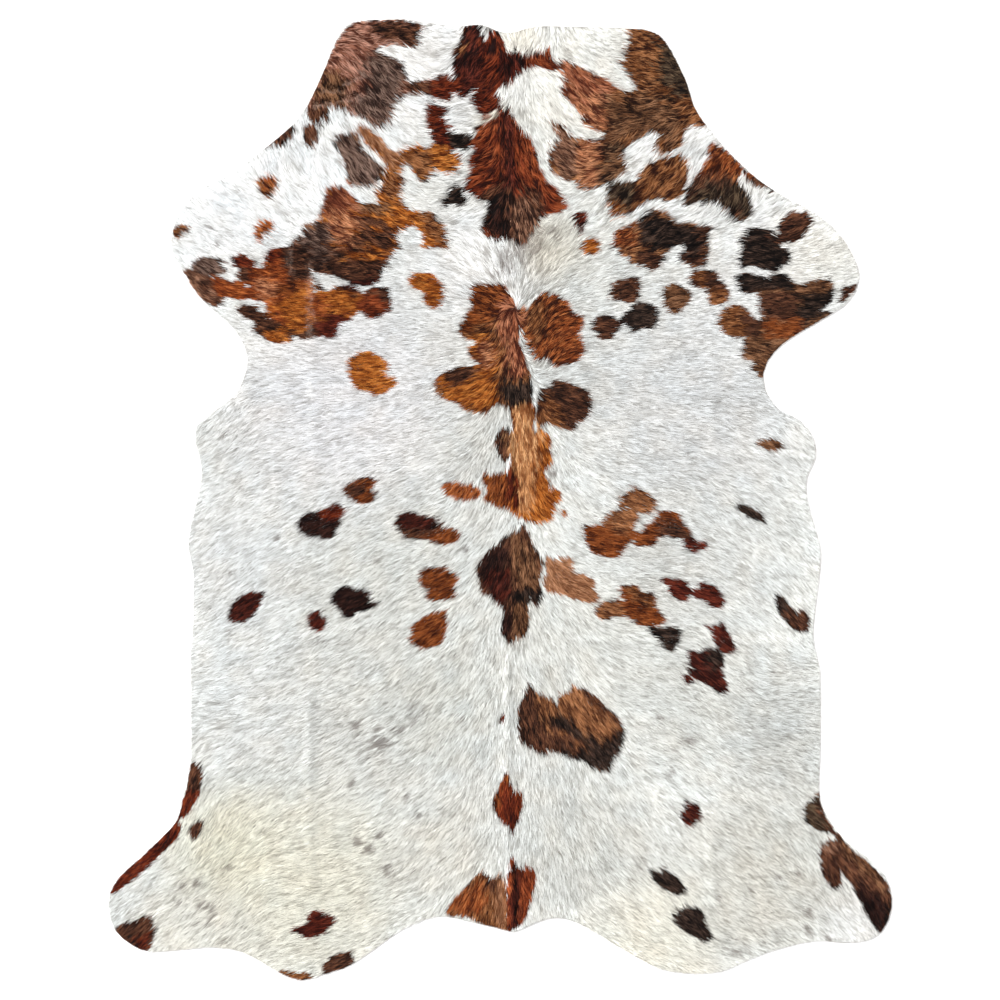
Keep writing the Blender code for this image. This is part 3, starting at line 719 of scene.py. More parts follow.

# Painted light and shade where the hide is creased: ends, half width in squares, how much paler (painted
# highlight) and then darker (painted shade)
creaseShading = [
    (511, 432, 512, 512, 2.0, 0.50), (508, 640, 508, 865, 3.0, 0.18), (512, 858, 512, 928, 3.0, 0.60),
    (286, 120, 288, 200, 4.0, 0.10), (320, 118, 322, 200, 4.0, 0.10), (313, 345, 316, 480, 4.0, 0.07),
    (712, 330, 713, 480, 4.0, 0.07), (700, 456, 815, 457, 4.0, 0.10), (560, 640, 815, 641, 4.0, 0.08),
    (270, 645, 370, 628, 4.0, 0.07), (360, 700, 470, 640, 4.0, 0.06), (190, 700, 480, 712, 4.0, 0.05),
    (120, 850, 190, 800, 3.0, 0.04), (309, 660, 311, 905, 4.0, 0.13), (268, 825, 269, 905, 4.0, 0.09),
    (520, 800, 800, 802, 4.0, 0.06), (712, 820, 712, 905, 4.0, 0.09),
]
creaseLook = dict(towardsLight=(-1.0, 1.0), ends=0.2)

# Sharp wrinkles and fold lines, paler along the ridge and with painted shade beyond: ends, half width in
# squares, how pale the ridge is, how dark its far side
paintedFoldLines = [
    (319, 90, 347, 93, 2.4, 0.25, 1.20), (333, 104, 365, 96, 2.4, 0.25, 1.20),
    (311, 107, 334, 104, 2.2, 0.40, 1.10), (341, 86, 364, 77, 1.8, 0.35, 0.80),
    (310.5, 256, 311, 348, 3.4, 0.34, 0.26), (290.5, 246, 291, 277, 3.0, 0.16, 0.18),
    (772, 450, 818, 453, 1.6, 0.00, 0.40), (194, 435, 254, 433, 1.5, 0.00, 0.28),
]
paintedFoldLook = dict(
    # pale is the ridge colour, partly rubbed hair and partly painted highlight; farSide places the painted
    # shade
    pale=(206, 180, 166),
    ends=0.15,                  # share of its length over which a line fades in and out
    farSide=1.7,                # where the dark side lies, in half widths from the ridge
    wander=(90.0, -0.8, 0.8),   # scale of the noise, least and most
    breaks=(420.0, 0.15, 1.3),
    fade=(70.0, 0.4, 1.2),
)


def linear(colour):
    c = np.asarray(colour, float) / 255.0
    return np.where(c <= 0.04045, c / 12.92, ((c + 0.055) / 1.055) ** 2.4)


def smoothOutline(text, perSide=4):
    # a smooth closed curve through the charted points
    points = np.array([[float(n) for n in pair.split(",")] for pair in text.split()])
    before, after = np.roll(points, 1, axis=0), np.roll(points, -1, axis=0)
    beyond = np.roll(points, -2, axis=0)
    found = []
    for t in np.arange(perSide) / perSide:
        found.append(0.5 * (2 * points + (after - before) * t
                            + (2 * before - 5 * points + 4 * after - beyond) * t ** 2
                            + (3 * points - before - 3 * after + beyond) * t ** 3))
    curve = np.stack(found, axis=1).reshape(-1, 2)
    return fromChart(*curve.T)


def charted(x0, y0, x1, y1):
    # a charted line as its start, its run and the way across it
    start, end = fromChart(x0, y0), fromChart(x1, y1)
    run = end - start
    return start, run, np.array([-run[1], run[0]]) / np.linalg.norm(run)


def nearness(points, across, down, radius):
    gap = points - fromChart(across, down)
    return np.exp(-rowDot(gap, gap) / (radius * chart["square"]) ** 2)


# Hair gathers in locks: fine ones a few hairs wide, broad ones that hold them, and tufts on the neck
locks = dict(
    fine=dict(pitch=4.0 * mm, stretch=5.2, seed=21),
    broad=dict(pitch=10.5 * mm, stretch=4.5, seed=22),
    tuft=dict(pitch=13.0 * mm, stretch=2.6, seed=23),
)


def locksAt(points, lie, size):
    # the long cell that each point falls in, its chances and how far the point is from its middle and seam
    pitch, stretch = size["pitch"], size["stretch"]
    margin = 6.0 * cm
    low = np.array(cadBox[0][:2]) - margin
    count = np.ceil((np.array(cadBox[1][:2]) + margin - low) / pitch).astype(int) + 3
    chances = np.random.default_rng(size["seed"]).random((count[0], count[1], 6))
    place = (points - low) / pitch
    cell = place.astype(int)
    best = np.full(len(points), np.inf)
    second = best.copy()
    found = np.zeros((len(points), 6))
    sideways = np.zeros(len(points))
    onward = np.zeros(len(points))
    for stepX in range(-2, 3):
        for stepY in range(-2, 3):
            i = np.clip(cell[:, 0] + stepX, 0, count[0] - 1)
            j = np.clip(cell[:, 1] + stepY, 0, count[1] - 1)
            chance = chances[i, j]
            dx = place[:, 0] - i - chance[:, 0]
            dy = place[:, 1] - j - chance[:, 1]
            along = dx * lie[:, 0] + dy * lie[:, 1]
            across = dy * lie[:, 0] - dx * lie[:, 1]
            gap = (along / stretch) ** 2 + across ** 2
            closer = gap < best
            second = np.where(closer, best, np.minimum(second, gap))
            best[closer] = gap[closer]
            found[closer] = chance[closer]
            sideways[closer] = across[closer]
            onward[closer] = along[closer]
    return dict(chance=found[:, 2:], across=sideways * pitch, along=onward * pitch,
                seam=np.sqrt(second) - np.sqrt(best))


def locksUnder(points, lie):
    return {name: locksAt(points, lie, size) for name, size in locks.items()}


# How ragged the markings end, against the hair, with it and beside it
raggedness = dict(
    upstream=8.0 * mm, downstream=2.4 * mm, beside=3.0 * mm,
    grain=0.9 * mm, neckGain=1.3,
    lockShare=0.62,             # from broad locks, the rest from fine ones
    toneRun=1.3, toneBlend=0.7,
)
# How light and dark play over the hair: random tone by lock and hair, painted shade along each seam, painted
# light and shade by the side that faces the window
coatShade = dict(
    fine=0.66, broad=0.42, tuft=0.35, hair=0.50,
    broadSeam=0.80, broadSeamWidth=0.22, broadSeamLevel=0.20,
    tuftSeam=4.0, tuftSeamWidth=0.22, tuftSeamLevel=0.10, tuftSeamLeast=0.35,
    broadSideShading=0.50, tuftSideShading=0.85, window=(-0.74, 0.67),
    reliefUnderTufts=0.5, seamUnderTufts=0.6,
    pigment=1.2, pigmentSpots=0.30, pigmentDrift=0.15,
)
whiteShade = dict(
    hold=4.0,                   # how firmly each charted white rules its place
    wisps=0.86, neckWisps=0.37, wispsInPure=0.7, wispsInGrey=1.6,
    fine=0.30, broad=0.32,
    cloud=0.04, mottle=0.05, warmth=0.018,
)
# Where the hair stands in tufts besides the neck: a band along the spine
tuftBand = dict(share=0.8, start=-0.10, run=0.5, width=14.0 * cm)


def byTone(shades, tone):
    # light, main and dark blended by a tone from -1 to 1
    light, main, dark = shades
    t = np.clip(tone, -1.0, 1.0)[:, None]
    return np.where(t > 0, mix(main, light, t), mix(main, dark, -t))


def spineGap(points):
    return np.abs(points[:, 0] - partingPlace(points[:, 1]))


def tuftShare(points):
    alongSpine = tuftBand["share"] * ease((points[:, 1] - tuftBand["start"]) / tuftBand["run"])
    alongSpine *= np.exp(-(spineGap(points) / tuftBand["width"]) ** 2)
    return np.maximum(neckShare(points), alongSpine)


def sideOf(hold, name):
    # -1 to 1 from one side of each lock to the other
    return np.clip(2.0 * hold[name]["across"] / locks[name]["pitch"], -1.0, 1.0)


def lockTone(points, lie, hold, hairChance):
    # how light or dark the hair is: random tone by lock and by hair, painted light and shade by side, and
    # painted shade where one lock meets the next
    fine, broad, tuft = hold["fine"], hold["broad"], hold["tuft"]
    share = tuftShare(points)
    tone = coatShade["fine"] * eitherWay(fine["chance"][:, 0])
    tone += coatShade["broad"] * eitherWay(broad["chance"][:, 0])
    tone += coatShade["hair"] * eitherWay(hairChance)
    tone += coatShade["tuft"] * share * eitherWay(tuft["chance"][:, 0])
    # painted highlight on the side of each lock towards the window, painted shade on the side away from it
    facing = lie[:, 0] * coatShade["window"][1] - lie[:, 1] * coatShade["window"][0]
    under = 1 - coatShade["reliefUnderTufts"] * share
    tone += coatShade["broadSideShading"] * under * facing * sideOf(hold, "broad")
    tone += coatShade["tuftSideShading"] * share * facing * sideOf(hold, "tuft")
    # painted shade along the seams where one lock meets the next
    seam = 1 - ease(broad["seam"] / coatShade["broadSeamWidth"])
    under = 1 - coatShade["seamUnderTufts"] * share
    tone -= coatShade["broadSeam"] * under * (seam - coatShade["broadSeamLevel"])
    seam = 1 - ease(tuft["seam"] / coatShade["tuftSeamWidth"])
    seam *= coatShade["tuftSeamLeast"] + tuft["chance"][:, 1]
    return tone - coatShade["tuftSeam"] * share * (seam - coatShade["tuftSeamLevel"])


def edgeDepth(outward, lie):
    facing = rowDot(outward, lie)
    return np.where(facing > 0, mix(raggedness["beside"], raggedness["downstream"], facing),
                    mix(raggedness["beside"], raggedness["upstream"], -facing))


def placesNear(outline, points, reach):
    return ((points > outline.min(axis=0) - reach) & (points < outline.max(axis=0) + reach)).all(axis=1)


def creaseShade(points):
    # painted highlight on the side towards the window, painted shade on the other
    shade = np.ones(len(points))
    for x0, y0, x1, y1, halfWidth, strength in creaseShading:
        start, run, across = charted(x0, y0, x1, y1)
        side = (points - start) @ across / (halfWidth * chart["square"])
        place = (points - start) @ run / (run @ run)
        fade = ease(place / creaseLook["ends"]) * ease((1 - place) / creaseLook["ends"])
        towards = np.sign(across @ np.array(creaseLook["towardsLight"]))
        shade += towards * strength * fade * side * np.exp(0.5 - 0.5 * side ** 2)
    return shade


def whiteColours(points, tone, fine, broad):
    total = np.ones((len(points), 3)) * linear(whiteBase)
    weights = np.ones(len(points))
    for across, down, radius, shade in whites:
        weight = whiteShade["hold"] * nearness(points, across, down, radius)
        total += weight[:, None] * linear(shade)
        weights += weight
    total /= weights[:, None]
    # wisps are finer and fainter where the white is purest
    strength = mix(whiteShade["wisps"], whiteShade["neckWisps"], neckShare(points))
    strength *= whiteShade["wispsInPure"] + whiteShade["wispsInGrey"] * (1.0 - total[:, 1])
    finer = tone + whiteShade["fine"] * eitherWay(fine["chance"][:, 0])
    finer -= whiteShade["broad"] * eitherWay(broad["chance"][:, 0])
    shades = [linear(c) for c in coats["white"]]
    tint = byTone(shades, finer * strength) / shades[1]
    cloud = 1.0 + whiteShade["cloud"] * softNoise(points, "whiteCloud")
    cloud += whiteShade["mottle"] * softNoise(points, "whiteMottle")
    warmth = whiteShade["warmth"] * softNoise(points, "whiteWarmth")
    hue = np.stack([1.0 + warmth, np.ones(len(points)), 1.0 - warmth], axis=1)
    return total * tint * cloud[:, None] * hue


def roanLevel(points, fine, broad):
    # how far each lock's hairs are turned roan
    share = np.zeros(len(points))
    for across, down, radius, amount in roan:
        share += amount * nearness(points, across, down, radius)
    chance = mix(fine["chance"][:, 2], broad["chance"][:, 2], roanLook["lockShare"])
    return ease((share * roanLook["gain"] - chance + roanLook["start"]) / roanLook["softness"])[:, None]


def coatColours(points, lie, hold, hairChance):
    # the colour of the hair seen at each point
    fine, broad = hold["fine"], hold["broad"]
    tone = lockTone(points, lie, hold, hairChance)
    colour = whiteColours(points, tone, fine, broad)
    colour = mix(colour, linear(roanLook["colour"]), roanLook["cover"] * roanLevel(points, fine, broad))
    rough = mix(eitherWay(fine["chance"][:, 1]), eitherWay(broad["chance"][:, 1]), raggedness["lockShare"])
    rough *= mix(1.0, raggedness["neckGain"], neckShare(points))
    grain = raggedness["grain"] * eitherWay(hairChance)
    tone = coatShade["pigment"] * tone
    tone += coatShade["pigmentSpots"] * softNoise(points, "pigmentSpots")
    tone += coatShade["pigmentDrift"] * softNoise(points, "pigmentDrift")
    pigmented = np.zeros(len(points), bool)
    for coat, text in markings:
        outline = smoothOutline(text)
        near = np.nonzero(placesNear(outline, points, 2 * cm))[0]
        distance, outward = outlineField(points[near], outline)
        ragged = edgeDepth(outward, lie[near]) * rough[near] + grain[near]
        inside = near[distance + ragged < 0.0]
        colour[inside] = byTone([linear(c) for c in coats[coat]], tone[inside])
        pigmented[inside] = True
    for coat, softness, text in tones:
        outline = smoothOutline(text)
        reach = softness * chart["square"]
        near = np.nonzero(placesNear(outline, points, 3 * reach) & pigmented)[0]
        distance, outward = outlineField(points[near], outline)
        ragged = (edgeDepth(outward, lie[near]) + raggedness["toneRun"] * reach) * rough[near]
        share = ease(0.5 - raggedness["toneBlend"] * (distance + ragged) / reach)[:, None]
        colour[near] = mix(colour[near], byTone([linear(c) for c in coats[coat]], tone[near]), share)
    # the painted crease highlight and shade are laid over the coat colour here
    return np.clip(colour * creaseShade(points)[:, None], 0.0, 1.0)


# shaders

def shaderGroup(name, inputs, outputs):
    group = bpy.data.node_groups.new(name, "ShaderNodeTree")
    for label, kind, value in inputs:
        socket = group.interface.new_socket(label, in_out="INPUT", socket_type=kind)
        socket.default_value = value
    for label, kind in outputs:
        group.interface.new_socket(label, in_out="OUTPUT", socket_type=kind)
    return group, group.nodes.new("NodeGroupInput").outputs, group.nodes.new("NodeGroupOutput").inputs


def node(tree, kind, links=(), **settings):
    # a new node, with each named socket joined to another or given a value
    made = tree.nodes.new(kind)
    for key, value in settings.items():
        setattr(made, key, value)
    for socket, value in dict(links).items():
        if isinstance(value, bpy.types.NodeSocket):
            tree.links.new(value, made.inputs[socket])
        else:
            made.inputs[socket].default_value = value
    return made


def mathsIn(tree):
    def maths(operation, *values):
        return node(tree, "ShaderNodeMath", dict(enumerate(values)), operation=operation).outputs[0]
    return maths


def vectorsIn(tree):
    def vectors(operation, links, output="Vector"):
        return node(tree, "ShaderNodeVectorMath", links, operation=operation).outputs[output]
    return vectors


def noiseIn(tree, scale, detail):
    place = node(tree, "ShaderNodeTexCoord").outputs["Object"]
    noise = node(tree, "ShaderNodeTexNoise", {"Vector": place, "Scale": scale, "Detail": detail})
    return noise.outputs["Fac"]


def ranged(tree, value, sockets, **settings):
    return node(tree, "ShaderNodeMapRange", {"Value": value, **sockets}, **settings).outputs[0]


def rootShadeAndGrainGroup():
    # painted shade from root to tip, darkest at the root and less on pale hair, and fine grain along each
    # hair
    group, given, out = shaderGroup(
        "hairRootShadeAndGrain",
        [("Coat", "NodeSocketColor", (0.8, 0.8, 0.8, 1)), ("Along", "NodeSocketFloat", 1.0),
         ("Root Shade", "NodeSocketFloat", 0.6), ("Pale Root Shade", "NodeSocketFloat", 0.85),
         ("Grain", "NodeSocketFloat", 0.1), ("Grain Size", "NodeSocketFloat", 900.0),
         ("Gloss", "NodeSocketFloat", 0.5)],
        [("Colour", "NodeSocketColor"), ("Roughness", "NodeSocketFloat"), ("Height", "NodeSocketFloat")],
    )
    maths, vectors = mathsIn(group), vectorsIn(group)
    grain = noiseIn(group, given["Grain Size"], 2.0)
    bright = node(group, "ShaderNodeRGBToBW", {"Color": given["Coat"]}).outputs[0]
    root = ranged(group, bright, {"From Min": 0.25, "From Max": 0.7, "To Min": given["Root Shade"],
                                  "To Max": given["Pale Root Shade"]})
    run = ranged(group, given["Along"], {"From Max": 0.6, "To Min": root}, interpolation_type="SMOOTHSTEP")
    swing = maths("SUBTRACT", grain, 0.5)
    factor = maths("MULTIPLY", run, maths("MULTIPLY_ADD", swing, given["Grain"], 1.0))
    group.links.new(vectors("SCALE", {0: given["Coat"], "Scale": factor}), out["Colour"])
    group.links.new(maths("MULTIPLY_ADD", swing, 0.3, given["Gloss"]), out["Roughness"])
    group.links.new(grain, out["Height"])
    return group


def paintedFoldGroup():
    # one wrinkle: a paler ridge line, partly rubbed hair and partly painted highlight, with painted shade on
    # its far side, measured along and across it
    group, given, out = shaderGroup(
        "paintedFoldLine",
        [("Coat", "NodeSocketColor", (0.8, 0.8, 0.8, 1)),
         ("Pale Colour", "NodeSocketColor", (0.6, 0.6, 0.6, 1)),
         ("Start", "NodeSocketVector", (0, 0, 0)), ("Run", "NodeSocketVector", (0, 0, 0)),
         ("Across", "NodeSocketVector", (0, 0, 0)), ("Pale", "NodeSocketFloat", 0.3),
         ("Dark", "NodeSocketFloat", 0.3)],
        [("Colour", "NodeSocketColor")],
    )
    maths, vectors = mathsIn(group), vectorsIn(group)

    def hump(value):
        return maths("EXPONENT", maths("MULTIPLY", maths("MULTIPLY", value, value), -1.0))

    def unevenness(scale, low, high):
        return ranged(group, noiseIn(group, scale, 2.0),
                      {"From Min": 0.35, "From Max": 0.65, "To Min": low, "To Max": high})

    place = node(group, "ShaderNodeTexCoord").outputs["Object"]
    gap = vectors("SUBTRACT", {0: place, 1: given["Start"]})
    along = vectors("DOT_PRODUCT", {0: gap, 1: given["Run"]}, "Value")
    side = vectors("DOT_PRODUCT", {0: gap, 1: given["Across"]}, "Value")
    side = maths("ADD", side, unevenness(*paintedFoldLook["wander"]))
    patchy = maths("MULTIPLY", unevenness(*paintedFoldLook["breaks"]), unevenness(*paintedFoldLook["fade"]))
    fromEnds = maths("MINIMUM", along, maths("SUBTRACT", 1.0, along))
    ends = ranged(group, fromEnds, {"From Max": paintedFoldLook["ends"]}, interpolation_type="SMOOTHSTEP")
    shown = maths("MULTIPLY", ends, patchy)
    ridge = maths("MULTIPLY", maths("MULTIPLY", hump(side), shown), given["Pale"])
    beyond = hump(maths("SUBTRACT", side, paintedFoldLook["farSide"]))
    far = maths("MULTIPLY", maths("MULTIPLY", beyond, shown), given["Dark"])
    paler = node(group, "ShaderNodeMix", {"Factor": ridge, 6: given["Coat"], 7: given["Pale Colour"]},
                 data_type="RGBA").outputs[2]
    darker = vectors("SCALE", {0: paler, "Scale": maths("SUBTRACT", 1.0, far)})
    group.links.new(darker, out["Colour"])
    return group


def foldShadedCoat(tree, colour):
    # the coat colour with the paler ridges and painted shade of every wrinkle and fold line
    for x0, y0, x1, y1, halfWidth, pale, dark in paintedFoldLines:
        start, run, across = charted(x0, y0, x1, y1)
        run = run / (run @ run)
        across = across / (halfWidth * chart["square"])
        line = node(tree, "ShaderNodeGroup",
                    {"Coat": colour, "Pale Colour": (*linear(paintedFoldLook["pale"]), 1), "Start": (*start, 0),
                     "Run": (*run, 0), "Across": (*across, 0), "Pale": pale, "Dark": dark},
                    node_tree=paintedFoldLine)
        colour = line.outputs["Colour"]
    return colour


def furNormalGroup():
    # hairs shade partly as the coat they lie in, not each as its own flat strip
    group, given, out = shaderGroup("furNormal", [("Lie Flat", "NodeSocketFloat", 0.5)],
                                    [("Normal", "NodeSocketVector")])
    maths, vectors = mathsIn(group), vectorsIn(group)
    facing = node(group, "ShaderNodeNewGeometry").outputs["Normal"]
    own = vectors("SCALE", {0: facing, "Scale": maths("SUBTRACT", 1.0, given["Lie Flat"])})
    up = node(group, "ShaderNodeCombineXYZ", {"Z": given["Lie Flat"]}).outputs[0]
    group.links.new(vectors("NORMALIZE", {0: vectors("ADD", {0: own, 1: up})}), out["Normal"])
    return group


def newMaterial(name):
    material = bpy.data.materials.new(name)
    material.use_nodes = True
    tree = material.node_tree
    return material, tree, tree.nodes["Principled BSDF"]


rootShadeAndGrain = rootShadeAndGrainGroup()
paintedFoldLine = paintedFoldGroup()
furNormal = furNormalGroup()

hairFinish = dict(rootShade=0.50, paleRootShade=0.82, grain=0.22, grainSize=1400.0, gloss=0.50,
                  specular=0.06, lieFlat=0.5)


def hairMaterial(name):
    material, tree, surface = newMaterial(name)
    coat = node(tree, "ShaderNodeAttribute", attribute_name="coat").outputs["Color"]
    along = node(tree, "ShaderNodeAttribute", attribute_name="along").outputs["Fac"]
    lines = node(tree, "ShaderNodeGroup",
                 {"Coat": foldShadedCoat(tree, coat), "Along": along, "Root Shade": hairFinish["rootShade"],
                  "Pale Root Shade": hairFinish["paleRootShade"], "Grain": hairFinish["grain"],
                  "Grain Size": hairFinish["grainSize"], "Gloss": hairFinish["gloss"]}, node_tree=rootShadeAndGrain)
    flat = node(tree, "ShaderNodeGroup", {"Lie Flat": hairFinish["lieFlat"]}, node_tree=furNormal)
    tree.links.new(lines.outputs["Colour"], surface.inputs["Base Color"])
    tree.links.new(lines.outputs["Roughness"], surface.inputs["Roughness"])
    tree.links.new(flat.outputs["Normal"], surface.inputs["Normal"])
    surface.inputs["Specular IOR Level"].default_value = hairFinish["specular"]
    return material


underHair = dict(grain=0.5, grainSize=500.0, gloss=0.7, bump=0.4, bumpDepth=0.4 * mm)


def skinTopMaterial(name):
    material, tree, surface = newMaterial(name)
    coat = node(tree, "ShaderNodeAttribute", attribute_name="coat").outputs["Color"]
    lines = node(tree, "ShaderNodeGroup",
                 {"Coat": coat, "Grain": underHair["grain"], "Grain Size": underHair["grainSize"],
                  "Gloss": underHair["gloss"]}, node_tree=rootShadeAndGrain)
    bump = node(tree, "ShaderNodeBump", {"Height": lines.outputs["Height"], "Strength": underHair["bump"],
                                         "Distance": underHair["bumpDepth"]})
    tree.links.new(lines.outputs["Colour"], surface.inputs["Base Color"])
    tree.links.new(lines.outputs["Roughness"], surface.inputs["Roughness"])
    tree.links.new(bump.outputs["Normal"], surface.inputs["Normal"])
    return material


suede = dict(pale=(216, 202, 178), deep=(178, 160, 134), edge=(150, 128, 104), napSize=700.0, napShare=0.35,
             cloudSize=9.0, deepAt=0.45, paleAt=0.85, roughness=0.9, sheen=0.25, bump=0.5, bumpDepth=0.3 * mm)


def suedeMaterial(name, pale, deep):
    material, tree, surface = newMaterial(name)
    nap = noiseIn(tree, suede["napSize"], 3.0)
    cloud = noiseIn(tree, suede["cloudSize"], 4.0)
    ramp = node(tree, "ShaderNodeValToRGB",
                {"Fac": mathsIn(tree)("MULTIPLY_ADD", nap, suede["napShare"], cloud)})
    first, last = ramp.color_ramp.elements
    first.position, first.color = suede["deepAt"], (*linear(deep), 1)
    last.position, last.color = suede["paleAt"], (*linear(pale), 1)
    bump = node(tree, "ShaderNodeBump", {"Height": nap, "Strength": suede["bump"],
                                         "Distance": suede["bumpDepth"]})
    tree.links.new(ramp.outputs["Color"], surface.inputs["Base Color"])
    tree.links.new(bump.outputs["Normal"], surface.inputs["Normal"])
    surface.inputs["Roughness"].default_value = suede["roughness"]
    surface.inputs["Sheen Weight"].default_value = suede["sheen"]
    return material


# the skin

skin = dict(thickness=2.2 * mm, inset=1.2 * mm, insetRun=30.0 * mm, cuts=3, shadow=0.55)
coatDepth = dict(edge=0.9 * mm, body=3.6 * mm, neck=5.6 * mm, run=7.0 * cm)


def coatDepthAt(points):
    # how deep the hair lies over the skin
    full = mix(coatDepth["body"], coatDepth["neck"], neckShare(points))
    return mix(coatDepth["edge"], full, ease(sample(rimGrid, points) / coatDepth["run"]))


def skinHeight(points):
    return np.maximum(sample(topGrid, points) - coatDepthAt(points), skin["thickness"])


def pointAttribute(mesh, name, kind, values):
    made = mesh.attributes.new(name, kind, "POINT")
    key = "color" if kind == "FLOAT_COLOR" else "value"
    made.data.foreach_set(key, np.asarray(values, np.float32).ravel())


def colourAttribute(mesh, colours):
    four = np.ones((len(colours), 4))
    four[:, :3] = colours
    pointAttribute(mesh, "coat", "FLOAT_COLOR", four)


def seenColours(points):
    lie = flowAt(points)
    return coatColours(points, lie, locksUnder(points, lie), np.full(len(points), 0.5))


def makeSkin(shape):
    # the leather itself, thinner than the solid, from a finer net of the solid's own faces
    level = shape.verts.layers.float.new("level")
    for vert in shape.verts:
        vert[level] = 0.0 if vert.co.z < 0.1 * mm else 1.0
    bmesh.ops.subdivide_edges(shape, edges=shape.edges, cuts=skin["cuts"], use_grid_fill=True)
    bmesh.ops.triangulate(shape, faces=shape.faces)
    points = np.array([v.co.xy for v in shape.verts])
    levels = np.array([v[level] for v in shape.verts])
    slope = np.stack(np.gradient(rimGrid, ground["step"]), axis=-1)
    inward = sample(slope, points)
    depth = np.maximum(sample(rimGrid, points), 0.0)
    points = points + inward * (skin["inset"] * np.clip(1 - depth / skin["insetRun"], 0, 1))[:, None]
    over = skinHeight(points)
    heights = mix(over - skin["thickness"], over, levels)
    for vert, (x, y), z in zip(shape.verts, points, heights):
        vert.co = (x, y, z)
    for face in shape.faces:
        share = sum(v[level] for v in face.verts) / 3     # 1 on top, 0 underneath, between on the cut edge
        face.material_index = 0 if share > 0.999 else (1 if share < 0.001 else 2)
        face.smooth = True
    shape.verts.layers.float.remove(level)
    mesh = bpy.data.meshes.new("hide_skin")
    shape.to_mesh(mesh)
    shape.free()
    colourAttribute(mesh, seenColours(points) * skin["shadow"])
    piece = bpy.data.objects.new("hide_skin", mesh)
    bpy.context.scene.collection.objects.link(piece)
    mesh.materials.append(skinTopMaterial("hide_under_hair"))
    mesh.materials.append(suedeMaterial("suede_underside", suede["pale"], suede["deep"]))
    mesh.materials.append(suedeMaterial("cut_edge", suede["deep"], suede["edge"]))
    return piece


skinLayout = dict(width=0.48, gap=0.01, underFrom=0.5, edgeLength=0.97, edgeFrom=0.66, edgeScale=5.0)


def skinMap(mesh):
    # top and underside side by side as seen from above, the cut edge as a band over them
    low, high = rim.min(axis=0), rim.max(axis=0)
    gap = skinLayout["gap"]
    scale = skinLayout["width"] / (high - low)[0]
    run = np.concatenate([[0.0], np.cumsum(np.linalg.norm(np.diff(rim, axis=0), axis=1))])
    layer = mesh.uv_layers.new(name="OFBake")
    for face in mesh.polygons:
        corners = [mesh.vertices[i].co for i in face.vertices]
        spots = np.array([c.xy for c in corners])
        if face.material_index < 2:
            found = (spots - low) * scale + (gap + skinLayout["underFrom"] * face.material_index, gap)
        else:
            nearest = [np.argmin(((rim - spot) ** 2).sum(axis=1)) for spot in spots]
            along = run[nearest] / run[-1]
            if along.max() - along.min() > 0.5:
                along = np.where(along < 0.5, along + 1.0, along)
            up = [skinLayout["edgeFrom"] + skinLayout["edgeScale"] * c.z for c in corners]
            found = np.column_stack([gap + skinLayout["edgeLength"] * along, up])
        for loop, place in zip(face.loop_indices, found):
            layer.data[loop].uv = place


hideSkin = makeSkin(solid)
skinMap(hideSkin.data)
print("skin:", len(hideSkin.data.polygons), "faces")

# the hair

anyHair = dict(
    fromEdge=1.0 * mm, edgeRun=6.0 * cm,
    lockLength=0.12, leastLength=0.5, mostLength=1.5,
    lean=4.0, stray=4.0, fineGather=0.4,                 # degrees by lock and by hair, share of the gathering
    lockRise=3.0, seamDip=4.0, seamDipLevel=0.6, seamDipWidth=0.4, flatEdge=0.6, flatEdgeRun=5.0 * cm,
    widthSpread=0.3, curl=0.25,
    overhang=1.2 * mm, overhangFrom=-0.6, overhangTo=1.6, overhangSpread=2.4 * mm, overhangLevel=0.25,
    trims=3, trimBy=1.05, leastLeft=0.3,
    seenAt=0.55,                # how far along a hair its colour is picked
)
coatHair = dict(
    anyHair, seed=41,
    spacing=2.26 * mm, jitter=0.55,
    length=20.0 * mm, neckLength=25.0 * mm, edgeLength=0.7, lengthSpread=0.28, width=1.55 * mm,
    rise=9.5, riseSpread=4.0, roll=22.0, lockRoll=26.0, roundness=22.0,
    gather=0.45, evening=0.12, tuftTurn=3.0, tuftEvening=0.4,
)
neckHair = dict(
    anyHair, seed=42,
    spacing=3.72 * mm, jitter=0.6,
    length=24.0 * mm, neckLength=32.0 * mm, edgeLength=0.6, lengthSpread=0.25, width=1.6 * mm,
    rise=16.0, riseSpread=3.0, roll=24.0, lockRoll=28.0, roundness=28.0,
    gather=0.3, evening=0.2, tuftTurn=5.0, tuftEvening=0.5,
    sag=0.16, neckFrom=0.40, neckRun=0.25,
    spineShare=0.9, spineWidth=3.5 * cm, whorl=(535, 262), whorlWidth=9.0 * cm,
)


def rootPlaces(spec):
    # staggered rows of roots, each a little out of line
    low, high = rim.min(axis=0), rim.max(axis=0)
    step, rise = spec["spacing"], spec["spacing"] * math.sqrt(0.75)
    rows = np.arange(low[1], high[1], rise)
    columns = np.arange(low[0], high[0], step)
    x, y = np.meshgrid(columns, rows)
    x = x + (step / 2) * (np.arange(len(rows)) % 2)[:, None]
    points = np.stack([x.ravel(), y.ravel()], axis=1)
    chance = np.random.default_rng(spec["seed"])
    points += chance.uniform(-0.5, 0.5, points.shape) * spec["jitter"] * step
    return points[sample(rimGrid, points) > spec["fromEdge"]], chance


def onNeckOrSpine(points, spec):
    # the chance that a longer hair grows there: on the neck, along the spine and round the whorl
    neck = ease((points[:, 1] - spec["neckFrom"]) / spec["neckRun"])
    spine = spec["spineShare"] * np.exp(-(spineGap(points) / spec["spineWidth"]) ** 2)
    fromWhorl = np.linalg.norm(points - fromChart(*spec["whorl"]), axis=1)
    return np.maximum(np.maximum(neck, spine), np.exp(-fromWhorl ** 2 / spec["whorlWidth"] ** 2))


